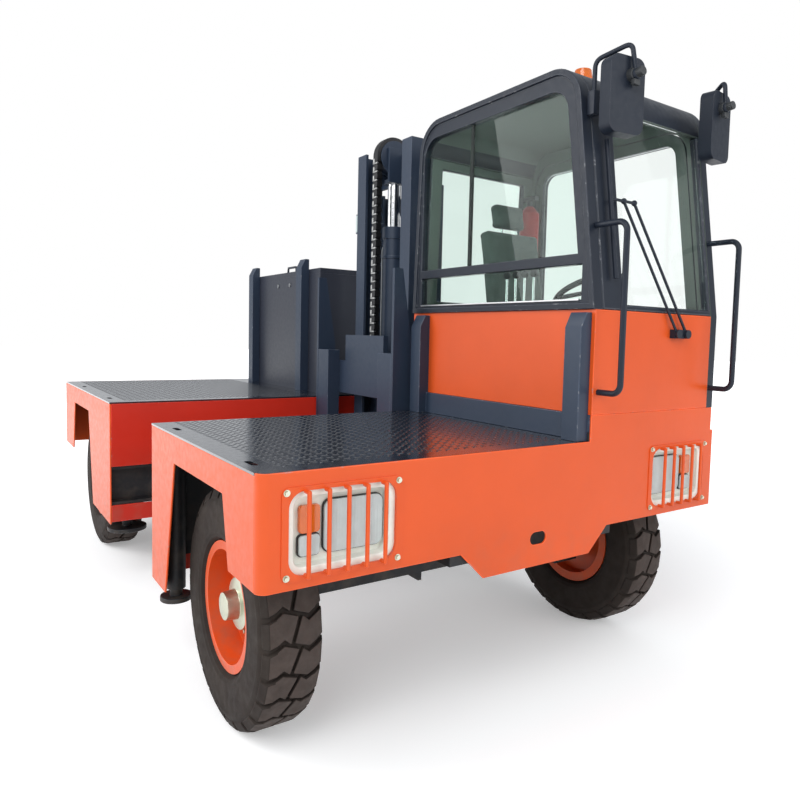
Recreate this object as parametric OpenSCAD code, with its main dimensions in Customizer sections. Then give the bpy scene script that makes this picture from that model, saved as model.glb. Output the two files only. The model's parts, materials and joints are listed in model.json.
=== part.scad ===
// Side loader forklift: load decks, side-mounted reach mast, cab and engine hood.
// Frame: +X forward, +Y to the cab side, +Z up, origin on the floor under the middle.

/* [Body] */
// Overall width over the side panels
body_w = 2560; // [2400:10:2700]
// Height of the load decks above the floor
deck_h = 1213; // [1150:1:1300]
// Length of the front deck, front face to mast well
front_deck_l = 1431; // [1400:1:1600]
// Length of the mast well between the decks
well_l = 1096; // [1060:1:1200]
// Length of the rear deck, mast well to rear face
rear_deck_l = 1938; // [1900:1:2200]
// Sheet thickness of the painted panels
panel_t = 10; // [6:1:14]
// Thickness of the deck tread plate
deck_t = 10; // [6:1:14]
// Height of the front skirt below the deck
front_skirt_h = 409; // [360:1:450]
// Extra drop of the tab in the middle of the front skirt
tab_drop = 117; // [60:1:140]
// Height of the rear skirt below the deck
rear_skirt_h = 517; // [450:1:560]
// Height of the lower ends of the side panels' long legs
leg_z = 430; // [380:1:480]
// Radius of the upright corner between front face and load side
corner_r = 40; // [20:1:60]

/* [Wheels] */
// Outside diameter of the tyres
tyre_d = 1018; // [980:1:1040]
// Width of the tyres
tyre_w = 260; // [230:1:270]
// Diameter of the rim at the tyre bead
rim_d = 508; // [480:1:520]
// Distance from the front face back to the front axle
front_axle_back = 694; // [680:1:720]
// Distance between the axles
wheelbase = 2958; // [2900:1:3000]
// Distance between the middles of the tyres on an axle
track = 2100; // [2060:1:2110]
// Distance from the middle of a front tyre in to its steering pin
steer_offset = 160; // [150:1:190]
// Diameter of the wheel axle stubs
stub_d = 110; // [90:1:130]
// Diameter of the steering pins
pin_d = 60; // [50:1:70]

/* [Cab] */
// Width of the cab
cab_w = 954; // [900:1:980]
// Length of the cab at its foot
cab_l = 1477; // [1427:1:1497]
// Height of the roof's top
cab_top = 2963; // [2900:1:3000]
// Height of the seam under the painted cab panels
seam_z = 1335; // [1300:1:1360]
// Height of the lower edge of the windows' frames
sill_z = 1820; // [1780:1:1840]
// Thickness of the cab's walls and door
wall_t = 50; // [40:1:60]
// Lean of the windscreen, foot to top
front_lean = 130; // [90:1:150]
// Lean of the cab's rear, window sill to roof
rear_lean = 42; // [20:1:60]
// Radius of the roof's front and rear corners
roof_r = 190; // [150:1:220]
// Thickness of the window glass
glass_t = 6; // [4:1:8]

/* [Hood] */
// Length of the engine hood
hood_l = 1370; // [1250:1:1400]
// Distance from the mast well back to the hood
hood_back = 223; // [200:1:260]
// Height of the hood's top
hood_top = 2190; // [2100:1:2250]
// Distance from the load side to the hood's load face
load_depth = 1555; // [1500:1:1570]
// Height of the load posts above the hood's top
post_over = 80; // [60:1:120]

/* [Mast] */
// Outside width of the mast uprights
mast_w = 700; // [660:1:720]
// Distance from the load side to the mast's front face at rest
mast_front = 1640; // [1630:1:1660]
// Height of the moving mast stage's top at rest
inner_top = 2960; // [2900:1:3000]
// Height of the fixed mast stage's top
outer_top = 2690; // [2650:1:2720]
// Outside diameter of the lift cylinder
cyl_d = 140; // [125:1:150]
// Radius of the chain sheave to the middle of the chain
sheave_r = 122; // [115:1:125]
// Diameter of the lift cylinder's rod
rod_d = 90; // [70:1:100]
// Length of the fork blades
fork_l = 1150; // [1000:1:1150]
// Width of the forks
fork_w = 160; // [120:1:180]
// Height of the blades' underside at rest
fork_z = 640; // [620:1:660]

/* [Hidden] */
$fn = 64;
fit = 0.3;
load_y = -body_w / 2;
far_y = body_w / 2;
handle_out = 140;
tail_out = 30;
side_in = 20;
body_l = front_deck_l + well_l + rear_deck_l;
front_x = (body_l - handle_out + tail_out) / 2;
well_fx = front_x - front_deck_l;
well_rx = well_fx - well_l;
rear_x = well_rx - rear_deck_l;
front_ax = front_x - front_axle_back;
rear_ax = front_ax - wheelbase;
axle_z = tyre_d / 2;
wheel_y = track / 2;
pin_y = wheel_y - steer_offset;
deck_under = deck_h - deck_t;
skirt_z = deck_h - front_skirt_h;
tab_z = skirt_z - tab_drop;
rear_skirt_z = deck_h - rear_skirt_h;
cab_far = far_y - side_in;
cab_near = cab_far - cab_w;
cab_rear = front_x - cab_l;
rail_drop = 413;
rail_h = 249;
rail_z1 = deck_h - rail_drop;
rail_z0 = rail_z1 - rail_h;
rail_depth = 80;
rail_t = 20;
rail_over = 5;
mast_x = (well_fx + well_rx) / 2;
mast_y = load_y + mast_front;
inner_depth = 140;
outer_depth = 130;
stage_gap = 6;
outer_y0 = mast_y + inner_depth + stage_gap;
roller_ys = [outer_y0 - 75, outer_y0 + 165];

// Slide rails for the mast run along both faces of the well.
roller_d = rail_h - 2 * rail_t - 2 * fit;
rail_end = roller_ys[1] + roller_d / 2 + rail_over;
beam_h = 150;
beam_z0 = deck_under - beam_h;
spine_y0 = rail_end + 40;
spine_z0 = rail_z0 - 51;
spine_h = 420;
spine_front = 120;
spine_rear = 180;
spine_in = 40;

// Outline of a side panel with its tapered wheel arch, x then z from the axle.
arch_drop = 136;
arch_top_z = deck_h - arch_drop;
arch_half_top = 331;
arch_half_foot = 490;

module arch_cut(ax, t) {
    translate([ax, 0, 0]) rotate([90, 0, 0]) linear_extrude(t, center = true)
        polygon([[-arch_half_foot, 0], [-arch_half_foot, leg_z],
            [-arch_half_top, arch_top_z], [arch_half_top, arch_top_z],
            [arch_half_foot, leg_z], [arch_half_foot, 0]]);
}

// A flat plate standing along X at a side, outer face at y, inward direction dir.
module side_plate(x0, x1, z0, z1, y, dir) {
    y0 = dir > 0 ? y : y - panel_t;
    translate([x0, y0, z0]) cube([x1 - x0, panel_t, z1 - z0]);
}

module side_panels(y, dir, front_end) {
    difference() {
        union() {
            side_plate(well_fx, front_end, skirt_z, deck_under, y, dir);
            side_plate(well_fx, front_ax, leg_z, deck_under, y, dir);
        }
        arch_cut(front_ax, 8 * body_w);
    }
    difference() {
        union() {
            side_plate(rear_x + panel_t, well_rx, rear_skirt_z, deck_under, y, dir);
            side_plate(rear_ax, well_rx, leg_z, deck_under, y, dir);
        }
        arch_cut(rear_ax, 8 * body_w);
    }
}

module load_side_panels() {
    color("tomato") side_panels(load_y, 1, front_x - corner_r);
}

module far_side_panels() {
    color("tomato") side_panels(far_y, -1, front_x - panel_t);
}

// Lamp openings, from the body's outer edge inward.
lamp_in = 319;
lamp_w = 427;
lamp_h = 295;
lamp_drop = 216;
lamp_z = deck_h - lamp_drop;
lamp_r = 60;
lamp_ys = [load_y + lamp_in, far_y - lamp_in + side_in];

module rounded_slab(w, h, r, t) {
    translate([-t / 2, 0, 0]) rotate([90, 0, 90]) linear_extrude(t) union() {
        square([w - 2 * r, h], center = true);
        square([w, h - 2 * r], center = true);
        for (sy = [-1, 1], sz = [-1, 1])
            translate([sy * (w / 2 - r), sz * (h / 2 - r)]) circle(r);
    }
}

tab_near = 848;
tab_far = 835;
tab_y0 = load_y + tab_near;
tab_y1 = far_y - tab_far;
tab_taper = 120;
slot_y = (tab_y0 + tab_y1) / 2 - 11;
slot_w = 95;
slot_h = 55;
slot_up = 6;

// The front face bends round the load-side corner and steps up under the cab.
module front_panel() {
    color("tomato") difference() {
        union() {
            translate([front_x - panel_t, load_y + corner_r, skirt_z])
                cube([panel_t, body_w - corner_r, deck_h - skirt_z]);
            translate([front_x - corner_r, load_y + corner_r, skirt_z])
                rotate([0, 0, -90]) rotate_extrude(angle = 90)
                    translate([corner_r - panel_t, 0]) square([panel_t, deck_h - skirt_z]);
            translate([front_x - panel_t, cab_near, deck_h - 1])
                cube([panel_t, cab_w, seam_z - deck_h + 1]);
            translate([front_x - panel_t, 0, 0]) rotate([90, 0, 90]) linear_extrude(panel_t)
                polygon([[tab_y0, skirt_z + 1], [tab_y0, skirt_z], [tab_y0 + tab_taper, tab_z],
                    [tab_y1 - tab_taper, tab_z], [tab_y1, skirt_z], [tab_y1, skirt_z + 1]]);
        }
        for (y = lamp_ys) translate([front_x, y, lamp_z])
            rounded_slab(lamp_w, lamp_h, lamp_r, 4 * panel_t);
        translate([front_x, slot_y, skirt_z + slot_up])
            rounded_slab(slot_w, slot_h, slot_h / 2 - fit, 4 * panel_t);
    }
}

module rear_panel() {
    color("tomato") translate([rear_x, load_y, rear_skirt_z])
        cube([panel_t, body_w, deck_h - rear_skirt_z]);
}

// Painted faces of the mast well above and below the slide rails.
module well_panels() {
    foot = leg_z + 14;
    color("orangered") for (x = [well_fx, well_rx - panel_t], z = [[foot, rail_z0], [rail_z1, deck_under]])
        translate([x, load_y + panel_t, z[0]]) cube([panel_t, rail_end - load_y - panel_t, z[1] - z[0]]);
}

// Oblong stake pockets near the load edge: deck, distance from the well, along x.
pocket_l = 90;
pocket_w = 26;
pocket_in = 53;
front_pockets = [well_fx + 263, front_x - 208];
rear_pockets = [well_rx - 290, well_rx - 1320];
deck_lip = 60;

module pocket(x) {
    translate([x, load_y + pocket_in, deck_h - 2 * deck_t]) union() {
        for (s = [-1, 1]) translate([s * (pocket_l - pocket_w) / 2, 0, 0])
            cylinder(d = pocket_w, h = 4 * deck_t);
        translate([-(pocket_l - pocket_w) / 2, -pocket_w / 2, 0])
            cube([pocket_l - pocket_w, pocket_w, 4 * deck_t]);
    }
}

module front_deck() {
    color("dimgray") difference() {
        translate([well_fx, load_y, deck_under])
            cube([front_deck_l - panel_t, cab_near - load_y, deck_t]);
        for (x = front_pockets) pocket(x);
        difference() {
            translate([front_x - corner_r, load_y - 1, deck_under - 1])
                cube([corner_r + 1, corner_r + 1, deck_t + 2]);
            translate([front_x - corner_r, load_y + corner_r, deck_under - 2])
                cylinder(r = corner_r - panel_t, h = deck_t + 4);
        }
    }
}

module rear_deck() {
    color("dimgray") difference() {
        translate([rear_x + panel_t, load_y, deck_under])
            cube([rear_deck_l - panel_t, body_w, deck_t]);
        for (x = rear_pockets) pocket(x);
        translate([hood_rx + deck_lip, hood_near + deck_lip, deck_under - 1])
            cube([hood_l - 2 * deck_lip, hood_w - 2 * deck_lip, deck_t + 2]);
    }
}

// Frame under the decks: rails, cross beams, slide rails, spine, jack tubes and steps.
rail_y = 430;
rail_w = 100;
frame_drop = 453;
frame_z0 = deck_h - frame_drop;
seat_half = 90;
front_beam_in = 180;
well_beam_in = 140;
tail_beam_in = 40;
beam_w = 80;
jack_d = 90;
jack_rod_d = 60;
jack_rod_l = 520;
jack_bore = 640;
foot_z = 350;
foot_t = 25;
jack_front_in = 144;
jack_rear_in = 150;
jacks = [[well_fx + jack_front_in, load_y + 80, 150], [well_rx - jack_rear_in, load_y + 130, 240]];

module slide_rail(x, dir) {
    y0 = load_y + panel_t;
    x0 = dir > 0 ? x + panel_t : x - panel_t - rail_depth;
    mouth = dir > 0 ? x0 - 1 : x0 + rail_t;
    difference() {
        translate([x0, y0, rail_z0]) cube([rail_depth, rail_end - y0, rail_z1 - rail_z0]);
        translate([mouth, y0 - 1, rail_z0 + rail_t])
            cube([rail_depth - rail_t + 1, rail_end - y0 + 2, rail_z1 - rail_z0 - 2 * rail_t]);
    }
}

module cross_beam(x) {
    translate([x, load_y + panel_t, beam_z0])
        cube([beam_w, body_w - 2 * panel_t, deck_under - beam_z0]);
}

module chassis_frame() {
    beams = [front_x - front_beam_in, well_fx + well_beam_in, well_rx - well_beam_in - beam_w,
        rear_x + tail_beam_in];
    bearer_x = (hood_rx + hood_fx - beam_w) / 2;
    color("darkslategray") difference() {
        union() {
            for (x = beams) cross_beam(x);
            translate([bearer_x, rail_y, beam_z0])
                cube([beam_w, hood_far - deck_lip - rail_y, deck_under - beam_z0]);
            for (s = [-1, 1]) {
                translate([well_fx + panel_t + rail_depth - 1, s * rail_y - rail_w / 2, frame_z0])
                    cube([front_x - well_fx - 2 * panel_t - rail_depth, rail_w, deck_under - frame_z0]);
                translate([rear_x + panel_t, s * rail_y - rail_w / 2, frame_z0])
                    cube([rear_deck_l - 2 * panel_t - rail_depth + 1, rail_w, deck_under - frame_z0]);
            }
            slide_rail(well_fx, 1);
            slide_rail(well_rx, -1);
            translate([well_rx - spine_rear, spine_y0, spine_z0])
                cube([well_l + spine_rear + spine_front, far_y - spine_in - spine_y0, spine_h]);
            for (x = [well_fx + panel_t, well_rx - panel_t - rail_depth])
                translate([x, rail_end - 1, rail_z0])
                    cube([rail_depth, spine_y0 - rail_end + 2, rail_z1 - rail_z0]);
            for (x = [well_fx + panel_t + 1, well_rx - panel_t - rail_depth + 1])
                translate([x, load_y + panel_t, rail_z1 - 1])
                    cube([rail_depth - 2, rail_end - load_y - panel_t, deck_under - rail_z1 + 1]);
            for (j = jacks) translate([j[0], j[1], foot_z + 60])
                cylinder(d = jack_d, h = deck_under - foot_z - 60);
            for (s = [-1, 1]) {
                translate([front_ax - seat_half, s * rail_y - rail_w / 2, front_seat_z])
                    cube([2 * seat_half, rail_w, frame_z0 - front_seat_z + 1]);
                translate([rear_ax - seat_half, s * rail_y - rail_w / 2, axle_z + rear_seat_h])
                    cube([2 * seat_half, rail_w, frame_z0 - axle_z - rear_seat_h + 1]);
            }
        }
        for (j = jacks) translate([j[0], j[1], foot_z]) cylinder(d = jack_rod_d + 2 * fit, h = jack_bore);
    }
}

// The engine stands under the hood, with room all round.
engine_room = 165;
engine_far = 260;
engine_head = 287;

module engine_block() {
    color("gray") translate([hood_rx + engine_room, hood_near + engine_room, deck_under])
        cube([hood_l - 2 * engine_room, hood_w - engine_room - engine_far,
            hood_top - engine_head - deck_under]);
}

// The hydraulic tank stands on the spine behind the mast.
tank_in = 60;
tank_h = 270;
cap_d = 90;
cap_h = 60;

module hydraulic_tank() {
    tank_w = far_y - spine_in - spine_y0 - tank_in;
    color("dimgray") translate([well_rx + tank_in, spine_y0 + tank_in / 2, spine_z0 + spine_h + fit])
        union() {
        cube([well_l / 2, tank_w, tank_h]);
        translate([cap_d, tank_w / 2, tank_h - 1]) cylinder(d = cap_d, h = cap_h);
    }
}

// Steps up to the cab door, on the far side of the well.
step_x0 = well_fx - 420;
step_w = 380;
step_t = 40;
step_zs = [spine_z0 + 10, spine_z0 + spine_h - step_t];

module far_steps() {
    color("black") for (z = step_zs) translate([step_x0, far_y - spine_in, z])
        cube([step_w, spine_in - 2, step_t]);
}

// Axles: the raised front beam ends in forks round the steering pins.
fork_gap = 170;
prong_t = 50;
prong_w = 120;
prong_in = 120;
prong_out = 60;
web_in = 95;
axle_beam_w = 140;
axle_beam_h = 150;
axle_beam_z = axle_z - 8;
front_seat_z = axle_beam_z + axle_beam_h;
rear_seat_h = 95;
lug_y = 225;
lug_w = 80;
lug_h = 40;

module front_axle() {
    beam_end = pin_y - web_in;
    prong_l = prong_in + prong_out;
    color("darkslategray") difference() {
        union() {
            translate([front_ax - axle_beam_w / 2, -beam_end, axle_beam_z])
                cube([axle_beam_w, 2 * beam_end, axle_beam_h]);
            for (s = [-1, 1], z = [-1, 1])
                translate([front_ax - prong_w / 2, s * pin_y - (s > 0 ? prong_in : prong_out),
                    axle_z + z * (fork_gap + prong_t) / 2 - prong_t / 2]) cube([prong_w, prong_l, prong_t]);
            for (s = [-1, 1]) translate([front_ax, s * beam_end, axle_z])
                cube([prong_w, prong_t, fork_gap + 2 * prong_t], center = true);
            for (s = [-1, 1]) translate([front_ax + axle_beam_w / 2 - prong_t, 0, 0]) rotate([90, 0, 90])
                linear_extrude(prong_t) polygon([[s * lug_y - lug_w / 2, axle_beam_z + 1],
                    [s * lug_y + lug_w / 2, axle_beam_z + 1], [s * lug_y + lug_w / 2, axle_beam_z - lug_h],
                    [s * lug_y + lug_w / 4, axle_beam_z - lug_h]]);
        }
        for (s = [-1, 1]) translate([front_ax, s * pin_y, axle_z - fork_gap])
            cylinder(d = pin_d + 0.1, h = 2 * fork_gap);
    }
}

axle_tube_d = 170;
axle_tube_in = 190;
bowl_d = 400;
stub_in = 12;
boss_d = 116;

module rear_axle() {
    color("darkslategray") translate([rear_ax, 0, axle_z]) union() {
        rotate([90, 0, 0]) cylinder(d = axle_tube_d, h = 2 * (wheel_y - axle_tube_in), center = true);
        sphere(d = bowl_d);
        rotate([90, 0, 0]) cylinder(d = stub_d, h = 2 * (wheel_y - stub_in), center = true);
        translate([-seat_half, -rail_y - rail_w / 2, 0])
            cube([2 * seat_half, 2 * rail_y + rail_w, rear_seat_h]);
    }
}

module knuckle(s) {
    color("darkslategray") translate([front_ax, s * pin_y, axle_z]) union() {
        cylinder(d = boss_d, h = fork_gap - 2 * fit, center = true);
        cylinder(d = pin_d, h = fork_gap + 2 * prong_t - 4, center = true);
        rotate([-90 * s, 0, 0]) cylinder(d = stub_d, h = steer_offset - stub_in);
    }
}

module knuckle_l() { knuckle(1); }
module knuckle_r() { knuckle(-1); }

// Wheels: name, x, side. The profiles are drawn with radius along x and the outside up.
hub_r = 92;
disc_out = -10;
rim_half = 105;

module rim_profile() {
    r = rim_d / 2;
    polygon([[stub_d / 2 + 0.05, -45], [hub_r, -45], [hub_r, disc_out - 12], [r - 26, disc_out - 26],
        [r - 26, -rim_half], [r + 23, -rim_half], [r + 23, -rim_half + 14], [r - 1, -rim_half + 22],
        [r - 1, rim_half - 22], [r + 23, rim_half - 14], [r + 23, rim_half], [r - 14, rim_half],
        [r - 14, disc_out], [150, disc_out + 6], [hub_r + 18, disc_out + 14], [hub_r + 18, 52],
        [64, 60], [58, 112], [0, 120], [0, 0], [stub_d / 2 + 0.05, 0]]);
}

module tyre_profile() {
    r = rim_d / 2;
    R = tyre_d / 2;
    h = tyre_w / 2;
    polygon([[r, -rim_half + 23], [r + 24, -rim_half + 16], [r + 40, -h + 12], [(r + R) / 2, -h],
        [R - 60, -h + 6], [R - 12, -h + 22], [R, -h + 52], [R, h - 52], [R - 12, h - 22], [R - 60, h - 6],
        [(r + R) / 2, h], [r + 40, h - 12], [r + 24, rim_half - 16], [r, rim_half - 23]]);
}

module at_wheel(x, s) {
    translate([x, s * wheel_y, axle_z]) rotate([-90 * s, 0, 0]) children();
}

module rim(x, s) { color("orangered") at_wheel(x, s) rotate_extrude($fn = 72) rim_profile(); }
module tyre(x, s) { color("black") at_wheel(x, s) rotate_extrude($fn = 44) tyre_profile(); }
module rim_fl() { rim(front_ax, 1); }
module rim_fr() { rim(front_ax, -1); }
module rim_rl() { rim(rear_ax, 1); }
module rim_rr() { rim(rear_ax, -1); }
module tyre_fl() { tyre(front_ax, 1); }
module tyre_fr() { tyre(front_ax, -1); }
module tyre_rl() { tyre(rear_ax, 1); }
module tyre_rr() { tyre(rear_ax, -1); }

// Jack rods with round feet.
module jack_foot(j) {
    color("gray") translate([j[0], j[1], 0]) union() {
        translate([0, 0, foot_z]) cylinder(d = j[2], h = foot_t);
        translate([0, 0, foot_z + foot_t - 1]) cylinder(d = jack_rod_d, h = jack_rod_l);
    }
}
module jack_foot_front() { jack_foot(jacks[0]); }
module jack_foot_rear() { jack_foot(jacks[1]); }

// Lamps in the front face.
dish_t = 64;
dish_rim = 20;
dish_in = 25;
dish_back = 20;

module headlamp_housings() {
    color("antiquewhite") for (y = lamp_ys) translate([front_x - panel_t - dish_t / 2, y, lamp_z])
        difference() {
        rounded_slab(lamp_w + 2 * dish_rim, lamp_h + 2 * dish_rim, lamp_r + dish_rim, dish_t);
        translate([dish_back, 0, 0]) rounded_slab(lamp_w - 2 * dish_in, lamp_h - 2 * dish_in,
            lamp_r - dish_in, dish_t);
    }
}

lens_t = 20;
lens_w = 240;
lens_h = 190;
lens_r = 30;
lens_in = 58;
small_w = 80;
small_h = 74;
small_r = 14;
small_in = 118;
flasher_h = 100;
flasher_up = 36;
lamp_floor = front_x - panel_t - dish_t + dish_back;
lens_x = lamp_floor + lens_t / 2 + fit;

module headlamp_lenses() {
    color("white") for (i = [0, 1]) {
        s = i == 0 ? 1 : -1;
        translate([lens_x, lamp_ys[i] + s * lens_in, lamp_z]) rounded_slab(lens_w, lens_h, lens_r, lens_t);
        translate([lens_x, lamp_ys[i] - s * small_in, lamp_z - small_h + 16])
            rounded_slab(small_w, small_h, small_r, lens_t);
    }
}

beacon_x = front_x - 380;
beacon_y = cab_near + 264;
beacon_d = 120;
beacon_base = 22;
beacon_h = 62;

module amber_lamps() {
    color("orange") union() {
        for (i = [0, 1]) translate([lens_x, lamp_ys[i] - (i == 0 ? 1 : -1) * small_in, lamp_z + flasher_up])
            rounded_slab(small_w, flasher_h, small_r, lens_t);
        translate([beacon_x, beacon_y, cab_top]) union() {
            cylinder(d = beacon_d, h = beacon_base);
            translate([0, 0, beacon_base - 1]) cylinder(d1 = beacon_d - 16, d2 = beacon_d - 36, h = beacon_h);
        }
    }
}

bar_d = 16;
bar_out = 32;
bar_step = 76;
ring_t = 5;
ring_w = 478;
ring_h = 326;

// A bolted ring round each lamp carries five guard bars that bend back to it.
module headlamp_guards() {
    bar_h = lamp_h + 12;
    color("tomato") for (y = lamp_ys) translate([front_x, y, lamp_z]) union() {
        difference() {
            translate([ring_t / 2, 0, 0]) rounded_slab(ring_w, ring_h, 30, ring_t);
            rounded_slab(lamp_w, lamp_h, lamp_r, 4 * ring_t);
        }
        for (i = [-2:2]) translate([0, i * bar_step, 0]) union() {
            translate([bar_out, 0, 0]) cylinder(d = bar_d, h = bar_h - bar_d, center = true);
            for (s = [-1, 1]) translate([0, 0, s * (bar_h - bar_d) / 2]) union() {
                translate([bar_out, 0, 0]) sphere(d = bar_d);
                translate([ring_t - 1, 0, 0]) rotate([0, 90, 0])
                    cylinder(d = bar_d, h = bar_out - ring_t + 1);
            }
        }
    }
}

tail_in = 240;
tail_w = 220;
tail_h = 100;

module tail_lamps() {
    color("firebrick") for (s = [-1, 1])
        translate([rear_x - tail_out, s * (far_y - tail_in) - tail_w / 2, deck_h - 2 * tail_h])
            cube([tail_out, tail_w, tail_h]);
}

// Cab: the side outline, foot at the seam, leaning front and round roof corners.
cab_lean_x = front_x - front_lean;

function arc_points(cx, cz, r, a0, a1, n) =
    [for (i = [0:n]) [cx + r * cos(a0 + (a1 - a0) * i / n), cz + r * sin(a0 + (a1 - a0) * i / n)]];

// The front's and the rear's place at a height: upright below the sill and leaning above it.
function front_at(z) = front_x - front_lean * max(0, z - sill_z) / (roof_z - sill_z);
function rear_at(z) = cab_rear + rear_lean * max(0, z - sill_z) / (roof_z - sill_z);

function cab_outline(inset, foot) = concat(
    foot < sill_z ? [[cab_rear + inset, sill_z]] : [],
    [[rear_at(foot) + inset, foot], [front_at(foot) - inset, foot]],
    foot < sill_z ? [[front_x - inset, sill_z]] : [],
    arc_points(cab_lean_x - roof_r, cab_top - roof_r, roof_r - inset, 4, 90, 10),
    arc_points(cab_rear + rear_lean + roof_r, cab_top - roof_r, roof_r - inset, 90, 178, 10));

module cab_solid(inset, foot, y0, y1) {
    translate([0, y1, 0]) rotate([90, 0, 0]) linear_extrude(y1 - y0) polygon(cab_outline(inset, foot));
}

module box3(p, q) {
    translate(p) cube([q[0] - p[0], q[1] - p[1], q[2] - p[2]]);
}

floor_t = 40;
floor_z = deck_h + floor_t;

module cab_floor() {
    color("dimgray") box3([cab_rear, cab_near, deck_under], [front_x - panel_t, cab_far, floor_z]);
}

// Load-side wall below the windows, and the front below the windscreen.
module cab_lower_panels() {
    color("tomato") union() {
        box3([cab_rear, cab_near, seam_z], [front_x, cab_near + wall_t, sill_z]);
        box3([front_x - wall_t, cab_near + wall_t - 1, seam_z], [front_x, cab_far - wall_t, sill_z]);
    }
}

win_x0 = cab_rear + 75;
win_front = 95;
win_top = 30;
win_r = roof_r - 70;
win_slope = 0.12;
low_win_h = 165;
low_win_up = 45;
win_bar = 50;
win_bar_z0 = sill_z + low_win_up + low_win_h;
win_bar_z1 = win_bar_z0 + win_bar;

function window_outline(z0) = concat(
    [[win_x0, z0], [front_x - win_front - (z0 - sill_z) * win_slope, z0]],
    arc_points(cab_lean_x - roof_r - 20, cab_top - roof_r - win_top, win_r, 4, 90, 8),
    arc_points(win_x0 + rear_lean + 80, cab_top - roof_r - win_top, win_r, 90, 176, 8));

low_win = [win_x0, sill_z + low_win_up, front_x - win_front, win_bar_z0];

// The side frame stands out in a rim round its outer edge.
rim_w = 30;
rim_out = 14;

module cab_side_frame() {
    color("black") difference() {
        union() {
            cab_solid(0, sill_z, cab_near, cab_near + wall_t);
            difference() {
                cab_solid(0, sill_z, cab_near - rim_out, cab_near + 1);
                cab_solid(rim_w, sill_z + rim_w, cab_near - rim_out - 1, cab_near + 2);
            }
        }
        translate([0, cab_near + wall_t + 1, 0]) rotate([90, 0, 0]) linear_extrude(wall_t + 2)
            polygon(window_outline(win_bar_z1));
        box3([low_win[0], cab_near - 1, low_win[1]], [low_win[2], cab_near + wall_t + 1, low_win[3]]);
    }
}

// Band between the side walls, hollow inside, from which front, roof and rear are cut.
band_y0 = cab_near + wall_t;
band_y1 = cab_far - wall_t;
roof_z = cab_top - roof_r;

module cab_band() {
    difference() {
        cab_solid(0, floor_z, band_y0, band_y1);
        cab_solid(wall_t, floor_z - 1, band_y0 - 1, band_y1 + 1);
    }
}

screen_in = 150;
screen_y0 = band_y0 + screen_in;
screen_y1 = band_y1 - 20;
screen_z0 = sill_z + 30;
screen_z1 = roof_z + 60;

module cab_front_frame() {
    color("black") difference() {
        intersection() {
            cab_band();
            box3([cab_lean_x - 300, band_y0, sill_z], [front_x, band_y1, roof_z]);
        }
        box3([cab_lean_x - 300, screen_y0, screen_z0], [front_x + 1, screen_y1, screen_z1]);
    }
}

module cab_roof() {
    color("black") intersection() {
        cab_band();
        box3([cab_rear - 1, band_y0, roof_z], [front_x, band_y1, cab_top + 1]);
    }
}

rear_win_z0 = sill_z + 80;
rear_win_in = 90;
rear_win_top = 60;

module cab_rear_wall() {
    color("black") difference() {
        intersection() {
            cab_band();
            box3([cab_rear, band_y0, floor_z], [seat_x, band_y1, roof_z]);
        }
        box3([cab_rear - 1, band_y0 + rear_win_in, rear_win_z0], [seat_x, band_y1 - rear_win_in,
            roof_z - rear_win_top]);
    }
}

// Far side: a fixed frame round the door opening.
door_x0 = cab_rear + rear_lean + 70;
door_z0 = seam_z;
door_z1 = cab_top - 120;
door_gap = 6;

function door_outline(g) = concat(
    [[door_x0 + g, door_z0 + g], [front_x - 70 - g, door_z0 + g], [front_x - 80 - g, sill_z]],
    arc_points(cab_lean_x - roof_r - 30, door_z1 - 150, 150 - g, 4, 90, 8),
    arc_points(door_x0 + 150, door_z1 - 150, 150 - g, 90, 180, 8));

module door_slab(g, y0, t) {
    translate([0, y0 + t, 0]) rotate([90, 0, 0]) linear_extrude(t) polygon(door_outline(g));
}

hinge_x = door_x0;
hinge_y = cab_far + 9;
hinge_d = 18;
hinge_pin_d = 10;
hinge_h = 60;
hinge_zs = [seam_z + 160, sill_z + 520];
glass_inset = 70;

// Each hinge: a pin on the frame's lower knuckle, turning in the door's upper knuckle.
module cab_far_frame() {
    color("black") union() {
        difference() {
            cab_solid(0, floor_z, cab_far - wall_t, cab_far);
            door_slab(0, cab_far - wall_t - 1, wall_t + 2);
            box3([front_x - panel_t, cab_far - wall_t - 1, floor_z - 1], [front_x + 1, cab_far + 1, seam_z]);
        }
        for (z = hinge_zs) translate([hinge_x, hinge_y, z]) union() {
            translate([0, 0, -hinge_h]) cylinder(d = hinge_d, h = hinge_h);
            translate([-40, -hinge_d / 2, -hinge_h]) cube([40, 6, hinge_h]);
            translate([0, 0, -1]) cylinder(d = hinge_pin_d, h = hinge_h + 1);
        }
    }
}

module cab_door() {
    color("black") difference() {
        union() {
            difference() {
                door_slab(door_gap, cab_far - wall_t, wall_t);
                intersection() {
                    door_slab(glass_inset, cab_far - wall_t - 1, wall_t + 2);
                    box3([cab_rear, cab_far - 2 * wall_t, sill_z], [front_x, cab_far + 1, cab_top]);
                }
            }
            for (z = hinge_zs) translate([hinge_x, hinge_y, z + fit]) union() {
                cylinder(d = hinge_d, h = hinge_h);
                translate([0, -hinge_d / 2, 0]) cube([60, 6, hinge_h]);
            }
            translate([front_x - 420, cab_far - 1, sill_z - 90]) cube([160, 13, 40]);
        }
        for (z = hinge_zs) translate([hinge_x, hinge_y, z - 1])
            cylinder(d = hinge_pin_d + 0.1, h = hinge_h + 4);
    }
}

module door_glass() {
    color("lightblue") intersection() {
        door_slab(glass_inset + fit, cab_far - wall_t / 2 - glass_t / 2, glass_t);
        box3([cab_rear, cab_far - wall_t, sill_z + fit], [front_x, cab_far, cab_top]);
    }
}

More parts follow.
